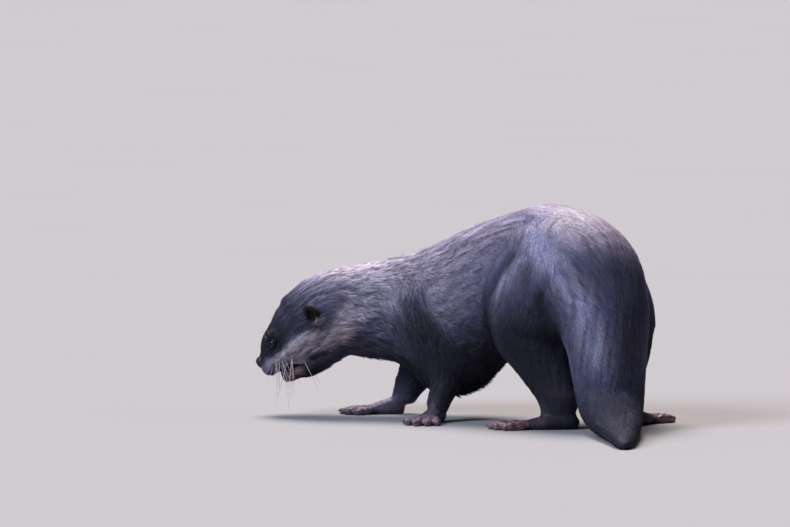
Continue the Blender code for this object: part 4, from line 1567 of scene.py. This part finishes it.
# -------------------------------------------------------------------------------------------- coat
@dataclass
class Coat:
    """The coat: solid tufts over the skin, each a slim three-sided spike."""

    skin: Skin
    tufts: int = 350_000
    most: int = 48_000
    # How dense the tufts are beside those of the body.
    face_density: float = 2.6
    foot_density: float = 0.5
    ear_density: float = 1.8
    # A tuft's width, how far it stands up in degrees, how deep its root goes in, and how high its
    # ridge stands beside half its width.
    width: float = 0.56
    lift: float = 9.5
    root_depth: float = 0.25
    ridge: float = 1.5
    # How far its shading turns round from edge to edge, and how much it leans at random.
    roundness: float = 0.7
    lean: float = 0.22
    # The spread of lengths, and how far tufts swirl together and sway alone, in radians.
    lengths: tuple[float, float] = (0.75, 1.2)
    swirl: float = 0.30
    sway: float = 0.10
    # How hard tips are drawn to the nearest wet point, and the most of the way that they go.
    draws: tuple[float, float] = (0.5, 0.95)
    most_drawn: float = 0.8
    # How high a tuft's corners and its tip stay over the floor.
    root_floor: float = 0.1
    tip_floor: float = 0.4
    patch: float = 0.003
    rings_a_span: int = 4
    seed: int = 23

    def build(self) -> None:
        """Sets the roots, then lays every tuft from its root."""
        self.draw = np.random.default_rng(self.seed)
        self._root()
        self._lie()
        self._clump()

    def _root(self) -> None:
        """Scatters the roots over the skin and reads the skin's values at each."""
        surface, lay = self.skin.surface, self.skin.lay
        forward, _, _ = self.skin.head_points()
        density = 1 + (self.face_density - 1) * step(15, 45, forward)
        density *= 1 - (1 - self.foot_density) * lay.bare
        density *= 1 - np.clip(self.skin.hollow * 1.5 - 0.5 * self.skin.ear, 0, 1)
        density *= (self.skin.rim < 0.96) * (1 + (self.ear_density - 1) * self.skin.ear)
        a, b, c = (surface.points[surface.triangles[:, k]] for k in range(3))
        area = np.linalg.norm(np.cross(b - a, c - a), axis=1)
        area *= density[surface.triangles].mean(axis=1)
        ends = np.cumsum(area)
        spots = (np.arange(self.tufts) + self.draw.random(self.tufts)) / self.tufts * ends[-1]
        chosen = surface.triangles[np.searchsorted(ends, spots)]
        self.draw.shuffle(chosen)
        first, second = self.draw.random((2, self.tufts))
        fold = first + second > 1
        first, second = np.where(fold, 1 - first, first), np.where(fold, 1 - second, second)
        shares = np.stack([1 - first - second, first, second], axis=1)

        def read(values: np.ndarray) -> np.ndarray:
            """Values at the skin's points, read at the roots."""
            return np.einsum("ij,ij...->i...", shares, values[chosen])

        self.root = read(surface.points)
        self.out = unit(read(surface.normals()))
        flow = read(lay.flow)
        self.flow = unit(flow - (flow * self.out).sum(axis=1)[:, None] * self.out)
        self.pelt = read(lay.pelt)
        self.ear = read(self.skin.ear)
        self.marks = {name: read(values) for name, values in self.skin.marks.items()
                      if name not in ("along", "across")}
        main = chosen[:, 0]
        self.limb, self.along, self.angle = lay.limb[main], lay.along[main], lay.angle[main]

    def _lie(self) -> None:
        """Gives each tuft its length, its width and its tip."""
        draw, count = self.draw, self.tufts
        self.side = np.cross(self.out, self.flow)
        clump, droop = self.pelt[:, 2], self.pelt[:, 3]
        swirl = self.skin.grain(self.root + 90, 14.0) * self.swirl * clump
        sway = swirl + draw.normal(0, self.sway, count)
        way = self.flow * np.cos(sway)[:, None] + self.side * np.sin(sway)[:, None]
        self.length = self.pelt[:, 0] * draw.uniform(*self.lengths, count) * (1 - 0.5 * self.ear)
        hanging = step(-0.55, -0.95, self.out[:, 2]) * droop * 2
        self.length *= 1 + 0.25 * hanging
        rise = np.radians(self.lift * draw.uniform(0.6, 1.3, count) * (1 - 0.35 * clump))
        rise *= 1 + 0.5 * step(5, 2, self.pelt[:, 0])
        way = way * np.cos(rise)[:, None] + self.out * np.sin(rise)[:, None]
        way[:, 2] -= hanging * 0.45
        self.tip = self.root + unit(way) * self.length[:, None]
        fullness = np.clip(self.pelt[:, 0] / 7, 0.3, 1.0)
        self.girth = self.width * fullness * draw.uniform(0.75, 1.3, count)

    def _clump(self) -> None:
        """Draws the tips of neighbouring tufts together into wet points."""
        often = 0.035 + 0.05 * step(6, 3, self.pelt[:, 0])
        seeds = np.flatnonzero(self.draw.random(self.tufts) < often)
        ends = self.tip[seeds] + self.out[seeds] * 0.5
        tree = KDTree(len(seeds))
        for i, end in enumerate(ends):
            tree.insert(end, i)
        tree.balance()
        nearest = np.array([tree.find(tip)[1] for tip in self.tip])
        share = self.pelt[:, 2] * self.draw.uniform(*self.draws, self.tufts)
        share = np.clip(share, 0, self.most_drawn)[:, None]
        pulled = self.tip * (1 - share) + ends[nearest] * share
        self.tip = self.root + unit(pulled - self.root) * self.length[:, None]
        self.tip[:, 2] = np.maximum(self.tip[:, 2], self.tip_floor)

    def dress(self, carcass: Carcass, finish: bpy.types.Material) -> None:
        """Makes the pieces of the coat, each within the size that one may have.

        Args:
            carcass: where the otter stands.
            finish: the coat's material.
        """
        for name, chosen in self._stretches():
            parts = math.ceil(len(chosen) / self.most)
            for i, part in enumerate(np.array_split(chosen, parts)):
                label = f"coat_{name}_{i + 1}" if parts > 1 else f"coat_{name}"
                carcass.put(self._mesh(label, part), label, Slot.COAT, finish)

    def _stretches(self) -> Iterator[tuple[str, np.ndarray]]:
        """The tufts of each region, ordered along it.

        Returns:
            Each stretch's name and the numbers of its tufts.
        """
        rings = between(self.skin.body.spine_rings()[0], self.rings_a_span)
        names = [*self.skin.body.skull, *self.skin.body.spine]
        steps = [(Vector(b[:3]) - Vector(a[:3])).length for a, b in zip(rings, rings[1:])]
        reached = np.concatenate([[0], np.cumsum(steps)])
        order = np.argsort(self.along, kind="stable")
        on_spine, along = self.limb[order] == SPINE, self.along[order]
        start = -FAR
        for region in Region:
            last = names.index(region.value) * self.rings_a_span
            end = FAR if region is Region.TAIL else reached[last]
            yield region.name.lower(), order[on_spine & (along >= start) & (along < end)]
            start = end
        for name, limbs in (("legs_left", LEFT_LEGS), ("legs_right", RIGHT_LEGS), ("feet", TOES)):
            yield name, order[np.isin(self.limb[order], list(limbs))]

    def _mesh(self, name: str, chosen: np.ndarray) -> bpy.types.Mesh:
        """The mesh of a set of tufts, with their finish's values and their places on the unwrap.

        Args:
            name: the mesh's name.
            chosen: the numbers of its tufts.

        Returns:
            The mesh.
        """
        root, out, side = self.root[chosen], self.out[chosen], self.side[chosen]
        half = self.girth[chosen][:, None] / 2
        base = root - out * self.root_depth
        tip = self.tip[chosen]
        back = unit(tip - root)
        ridge = unit(np.cross(back, side))
        ridge *= np.sign((ridge * out).sum(axis=1))[:, None]
        corners = np.stack([base - side * half, base + side * half,
                            base + ridge * half * self.ridge, tip], axis=1)
        corners[:, :, 2] = np.maximum(corners[:, :, 2], self.root_floor)
        points = corners.reshape(-1, 3)
        facets = np.array([[0, 1, 3], [1, 2, 3], [2, 0, 3], [0, 2, 1]])
        faces = (np.arange(len(chosen))[:, None, None] * 4 + facets[None]).reshape(-1, 3)
        middle = corners.mean(axis=1)
        sample = corners[0][facets[0]]
        outward = np.cross(sample[1] - sample[0], sample[2] - sample[0]) @ (sample[0] - middle[0])
        if outward < 0:
            faces = faces[:, ::-1]
        mesh = faced(name, points, faces)
        shade = self.draw.uniform(0.1, 1.0, len(chosen)) ** 1.5
        marks = {key: np.repeat(values[chosen], 4) for key, values in self.marks.items()}
        marks["tip"] = np.tile([0.0, 0.0, 0.25, 1.0], len(chosen))
        marks["shade"] = np.repeat(shade, 4)
        mark(mesh, marks)
        lean = self.draw.normal(0, self.lean, len(chosen))[:, None] * side
        edge = side * self.roundness
        turned = np.stack([out - edge, out + edge, out, out], axis=1) + lean[:, None, :]
        mesh.normals_split_custom_set_from_vertices(unit(turned.reshape(-1, 3)).tolist())
        self._unwrap(mesh, chosen, faces)
        return mesh

    def _unwrap(self, mesh: bpy.types.Mesh, chosen: np.ndarray, faces: np.ndarray) -> None:
        """Lays each tuft on a patch at its root's place on the skin, slit and rolled out flat.

        Args:
            mesh: the mesh.
            chosen: the numbers of its tufts.
            faces: its triangles.
        """
        limbs, islands = np.unique(self.limb[chosen], return_inverse=True)
        along, around = self.along[chosen], self.angle[chosen] / (2 * math.pi) + 0.5
        spans = []
        for i in range(len(limbs)):
            own = along[islands == i]
            spans.append((own.min(), max(own.max() - own.min(), 1e-3)))
        spans = np.array(spans)[islands]
        across = (along - spans[:, 0]) / spans[:, 1]
        room = 1 - 2 * self.patch * len(limbs)
        place = np.stack([(islands + across * room) / len(limbs), around * room], axis=1)
        place = place * (1 - self.patch * 2) + self.patch * 0.5
        shape = np.array([[0, 0], [1, 0], [0.5, 0.4], [0.5, 1]]) * self.patch
        spots = (place[:, None] + shape).reshape(-1, 2)
        layer = mesh.uv_layers.new(name="OFBake")
        layer.data.foreach_set("uv", spots[faces.ravel()].astype(np.float32).ravel())


# ----------------------------------------------------------------------------- pieces of their own
@dataclass
class Eyes:
    """Two dark wet eyes."""

    body: Body
    looks: Triple = (-0.5, 1.0, 0.12)

    def build(self, carcass: Carcass, finish: bpy.types.Material) -> None:
        """Makes each eye in place of its solid.

        Args:
            carcass: where the otter stands.
            finish: the eyes' material.
        """
        radius = self.body.eye_radius
        for side in Side:
            at = self.body.eye_point(side)
            form = bmesh.new()
            ball(form, Matrix.Translation(at), (radius,) * 3, detail=48)
            mesh = meshed(form, "eye")
            back, out, up = self.looks
            way = self.body.head_frame().to_3x3() @ Vector((back, side.value * out, up))
            way.normalize()
            axis = [((vertex.co - at) / radius).cross(way).length
                    if (vertex.co - at).dot(way) > 0 else 1.0 for vertex in mesh.vertices]
            mark(mesh, {"from_axis": np.array(axis)})
            carcass.put(mesh, f"eyeball_{side.word}", Slot.EYE, finish, f"eye_{side.word}")


@dataclass
class Nose:
    """The bare nose pad, with its two nostrils."""

    body: Body
    at: Triple = (-71.6, 0.0, -3.4)
    radii: Triple = (6.3, 8.6, 6.6)
    squareness: float = 2.5
    # A nostril: its middle, turn and radii, the way that it is pressed, and how deep.
    nostril_at: Triple = (-5.2, 5.2, -1.0)
    nostril_turn: float = 0.5
    nostril_radii: Triple = (2.8, 2.3, 2.8)
    nostril_way: Triple = (0.9, -0.25, 0.2)
    nostril_depth: float = 3.0
    cleft_depth: float = 0.9

    def build(self, carcass: Carcass, finish: bpy.types.Material) -> None:
        """Makes the pad in place of its solid.

        Args:
            carcass: where the otter stands.
            finish: the pad's material.
        """
        frame = self.body.head_frame() @ Matrix.Translation(self.at)
        turned = frame.to_3x3()
        form = bmesh.new()
        ball(form, frame, self.radii, detail=96)
        mesh = meshed(form, "nose")
        surface = Surface.of(mesh)
        points = surface.points
        round_form = within(frame, points) / self.radii
        fullness = (np.abs(round_form) ** self.squareness).sum(axis=1) ** (-1 / self.squareness)
        squared = round_form * fullness[:, None] * self.radii
        points[:] = squared @ np.array(turned).T + np.array(frame.translation)
        for side in Side:
            mirror = Vector((1, side.value, 1))
            at = (frame @ Matrix.Translation(Vector(self.nostril_at) * mirror)
                  @ Matrix.Rotation(side.value * self.nostril_turn, 4, "X"))
            way = turned @ (Vector(self.nostril_way) * mirror)
            depth = Hollow(at, self.nostril_radii, way).press(points)
            depth = np.minimum(depth, self.nostril_depth)
            points += depth[:, None] * np.array(way.normalized())
        back, out, up = within(frame, points).T
        cleft = np.exp(-(out / 0.8) ** 2) * step(1, -3, up) * (back < 0)
        points += cleft[:, None] * self.cleft_depth * np.array(turned @ Vector((1, 0, 0)))
        points[:] = surface.blurred(points, 2)
        mesh.vertices.foreach_set("co", points.astype(np.float32).ravel())
        mesh.update()
        carcass.put(mesh, "nose_pad", Slot.NOSE, finish, "nose")


@dataclass
class Claws:
    """Short blunt claws, one on the tip of every toe."""

    body: Body
    length: float = 2.6
    radius: float = 1.4
    # How far along the toe's height it sits, how far it dips in degrees, and its lowest height.
    height: float = 0.95
    dip: float = 24.0
    floor: float = 0.1
    # How much it narrows and flattens towards the tip, and how far the tip hooks down.
    narrowing: float = 0.45
    flattening: float = 0.35
    hook: float = 0.5

    def build(self, carcass: Carcass, finish: bpy.types.Material) -> None:
        """Makes the claws of each foot one piece, in place of that foot's five solids.

        Args:
            carcass: where the otter stands.
            finish: the claws' material.
        """
        for name in self.body.feet():
            form = bmesh.new()
            tips = []
            toe_radius = self.body.feet()[name][0].toe_radius
            for i in range(TOES_A_FOOT):
                root, ahead, length, yaw = self.body.toe_line(name, i)
                tip = root + ahead * length + Vector((0, 0, toe_radius * self.height))
                frame = (self.body.foot_frame(name) @ Matrix.Translation(tip)
                         @ Matrix.Rotation(-math.radians(yaw), 4, "Z")
                         @ Matrix.Rotation(-math.radians(self.dip), 4, "Y"))
                claw = bmesh.new()
                ball(claw, Matrix(), (self.length, self.radius, self.radius), detail=18)
                for vertex in claw.verts:
                    reach = max(-vertex.co.x / self.length, 0)
                    vertex.co.y *= 1 - self.narrowing * reach
                    vertex.co.z = (vertex.co.z * (1 - self.flattening * reach)
                                   - self.hook * reach ** 2)
                    tips.append(reach)
                join_into(form, claw, frame)
            for vertex in form.verts:
                vertex.co.z = max(vertex.co.z, self.floor)
            mesh = meshed(form, "claws")
            mark(mesh, {"tip": np.array(tips)})
            nodes = [f"claw_{name}_{i + 1}" for i in range(TOES_A_FOOT)]
            carcass.put(mesh, f"claws_{name}", Slot.CLAW, finish, *nodes)


class Bristle(NamedTuple):
    """A whisker: its root (forward and up), how it swings from straight down, and its length."""

    forward: float
    up: float
    swing: float
    length: float


@dataclass
class Whiskers:
    """Long pale whiskers on the lips, the chin and the brow."""

    skin: Skin
    # The radius at the root of the longest ones, and how that of short ones and of tips compares.
    thickness: float = 0.30
    full_length: float = 38.0
    slimmest: float = 0.12
    taper: float = 0.62
    sides: int = 5
    joints: int = 9
    # How far they stand out to the side and off the skin, how much of that is left at the tip, and
    # how deep their roots go in.
    outward: float = 0.45
    off_skin: float = 0.25
    left_at_tip: float = 0.25
    root_depth: float = 0.8
    # How near its place a root is looked for, and how much swings and lengths vary.
    root_reach: float = 1.6
    unsteady: float = 3.0
    lengths: tuple[float, float] = (0.92, 1.08)
    seed: int = 5
    bristles: tuple[Bristle, ...] = (
        Bristle(68, -13, -42, 12), Bristle(66, -15, -18, 21), Bristle(63, -16.5, -3, 33),
        Bristle(61, -17.5, 3, 28), Bristle(58.5, -18, 12, 32), Bristle(55, -18, 25, 28),
        Bristle(50, -20, -17, 48), Bristle(47, -21, -1, 50), Bristle(45, -19, 9, 38),
        Bristle(43, -17, 11, 29), Bristle(36, -30, 30, 38), Bristle(64, -10, -35, 14),
        Bristle(60, -13, -12, 24), Bristle(57, -14, 6, 30), Bristle(54, -15, 18, 34),
        Bristle(62, -19, 0, 16), Bristle(60, -10, 14, 20), Bristle(52, -17, 32, 26),
        Bristle(54, 13, -160, 12), Bristle(51, 14.5, -148, 15), Bristle(48, 15, -172, 9))

    def build(self, carcass: Carcass, finish: bpy.types.Material) -> None:
        """Makes the whiskers of each side one piece.

        Args:
            carcass: where the otter stands.
            finish: the whiskers' material.
        """
        draw = np.random.default_rng(self.seed)
        forward, side, up = self.skin.head_points()
        normals = self.skin.surface.normals()
        for hand in Side:
            points, faces, tips = [], [], []
            for bristle in self.bristles:
                away = np.hypot(forward - bristle.forward, up - bristle.up)
                reach = np.where(away < self.root_reach, side * hand.value, -FAR)
                root = int(np.argmax(reach))
                swing = math.radians(bristle.swing + draw.normal(0, self.unsteady))
                hang = np.array([math.sin(swing), 0, -math.cos(swing)])
                out = np.array([0, hand.value * self.outward, 0]) + normals[root] * self.off_skin
                start, end = unit(np.stack([hang + out, hang + out * self.left_at_tip]))
                length = bristle.length * draw.uniform(*self.lengths)
                self._shaft(points, faces, tips, self.skin.surface.points[root], start, end, length)
            mesh = faced("whiskers", np.array(points), np.array(faces))
            mark(mesh, {"tip": np.array(tips)})
            carcass.put(mesh, f"whiskers_{hand.word}", Slot.COAT, finish)

    def _shaft(self, points: list, faces: list, tips: list, root: np.ndarray,
               start: np.ndarray, end: np.ndarray, length: float) -> None:
        """Adds one tapering whisker that bends from its first way to its last.

        Args:
            points: the points so far, which it adds to.
            faces: the triangles so far, which it adds to.
            tips: how near each point lies to its whisker's tip, which it adds to.
            root: where it leaves the skin.
            start: its way there.
            end: its way at the tip.
            length: its length in millimetres.
        """
        first = len(points)
        place = root - start * self.root_depth
        girth = self.thickness * min(self.slimmest + length / self.full_length, 1.0)
        for i in range(self.joints):
            t = i / (self.joints - 1)
            way = unit((start * (1 - t) + end * t)[None])[0]
            across = unit(np.cross(way, [0.3, 1.0, 0.2])[None])[0]
            other = np.cross(way, across)
            radius = girth * (1 - self.taper * t)
            for k in range(self.sides):
                angle = 2 * math.pi * k / self.sides
                points.append(place + radius * (across * math.cos(angle) + other * math.sin(angle)))
                tips.append(t)
            place = place + way * length / (self.joints - 1)
        for i in range(self.joints - 1):
            for k in range(self.sides):
                ring = first + i * self.sides
                a, b = ring + k, ring + (k + 1) % self.sides
                faces += [(a, b, b + self.sides), (a, b + self.sides, a + self.sides)]
        last = first + (self.joints - 1) * self.sides
        for k in range(1, self.sides - 1):
            faces += [(first, first + k + 1, first + k), (last, last + k, last + k + 1)]


# ------------------------------------------------------------------------------------------ studio
@dataclass
class Studio:
    """The floor, the lights and the camera."""

    # The camera: its distance, its height in degrees, what it spans there, and where it looks.
    distance: float = 8.0
    height: float = 4.0
    span: float = 0.8295
    sensor: float = 36.0
    farthest: float = 100.0
    look_right: float = -0.063
    look_up: float = 0.16223
    floor_size: float = 60.0
    paint: Colour = tone(0.36, 0.36, 0.35)
    air: Colour = tone(0.82, 0.86, 1.0)
    air_light: float = 0.13

    def build(self, carcass: Carcass) -> None:
        """Sets up the studio round the otter.

        Args:
            carcass: where the otter stands.
        """
        self._floor()
        self._camera(carcass)
        self._sun("key", azimuth=-160, height=68, spread=34, power=4.5, colour=(1.0, 0.89, 0.90))
        self._sun("sky", azimuth=-52, height=34, spread=26, power=2.9, colour=(0.70, 0.78, 1.0))
        world = bpy.data.worlds.new("studio")
        bpy.context.scene.world = world
        world.use_nodes = True
        background = world.node_tree.nodes["Background"]
        background.inputs["Color"].default_value = self.air
        background.inputs["Strength"].default_value = self.air_light
        bpy.context.scene.view_settings.view_transform = "Standard"

    def _floor(self) -> None:
        """A plain pale floor."""
        form = bmesh.new()
        bmesh.ops.create_grid(form, x_segments=4, y_segments=4, size=self.floor_size / 2)
        mesh = meshed(form, "floor")
        floor = bpy.data.objects.new("floor", mesh)
        bpy.context.scene.collection.objects.link(floor)
        shader = Shader("floor")
        haze = shader.noise(shader.where(), 400.0)
        worn = tone(*(0.96 * part for part in self.paint[:3]))
        shader.wear(Base_Color=shader.blend(haze, self.paint, worn), Roughness=0.85,
                    Specular_IOR_Level=0.1)
        mesh.materials.append(shader.material)

    def _camera(self, carcass: Carcass) -> None:
        """A camera a little above the floor, looking at the otter's left side.

        Args:
            carcass: where the otter stands.
        """
        rise = math.radians(self.height)
        back = Vector((0, -math.cos(rise), math.sin(rise)))
        right, up = Vector((1, 0, 0)), Vector((0, math.sin(rise), math.cos(rise)))
        target = carcass.shift + right * self.look_right + up * self.look_up
        lens = bpy.data.cameras.new("camera")
        lens.sensor_width, lens.lens = self.sensor, self.sensor * self.distance / self.span
        lens.clip_end = self.farthest
        camera = bpy.data.objects.new("camera", lens)
        camera.location = target + back * self.distance
        camera.rotation_euler = (-back).to_track_quat("-Z", "Y").to_euler()
        bpy.context.scene.collection.objects.link(camera)
        bpy.context.scene.camera = camera

    def _sun(self, name: str, azimuth: float, height: float, spread: float, power: float,
             colour: tuple[float, float, float]) -> None:
        """A broad soft light from far away.

        Args:
            name: the lamp's name.
            azimuth: where it stands in degrees, 0 at the camera and 90 at the right.
            height: its height over the floor in degrees.
            spread: how broad it looks in degrees.
            power: its strength in watts per square metre.
            colour: its colour.
        """
        lamp = bpy.data.lights.new(name, "SUN")
        lamp.energy, lamp.angle, lamp.color = power, math.radians(spread), colour
        light = bpy.data.objects.new(name, lamp)
        turn, rise = math.radians(azimuth), math.radians(height)
        level = Vector((math.sin(turn), -math.cos(turn), 0))
        towards = level * math.cos(rise) + Vector((0, 0, math.sin(rise)))
        light.rotation_euler = towards.to_track_quat("Z", "Y").to_euler()
        bpy.context.scene.collection.objects.link(light)


def main() -> None:
    """Builds the otter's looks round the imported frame."""
    logging.basicConfig(level=logging.INFO, format="%(name)s: %(message)s")
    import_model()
    body = Body()
    carcass = Carcass.from_frame(body)
    pelt = PeltFinish()
    skin = Skin(body)
    skin.build()
    coat = Coat(skin)
    coat.build()
    Whiskers(skin).build(carcass, WhiskerFinish().made())
    Eyes(body).build(carcass, EyeFinish().made())
    Nose(body).build(carcass, NoseFinish().made())
    Claws(body).build(carcass, HornFinish().made())
    coat.dress(carcass, pelt.on_coat())
    skin.dress(carcass, pelt.on_skin())
    Studio().build(carcass)
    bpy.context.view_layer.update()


if __name__ == "__main__":
    main()
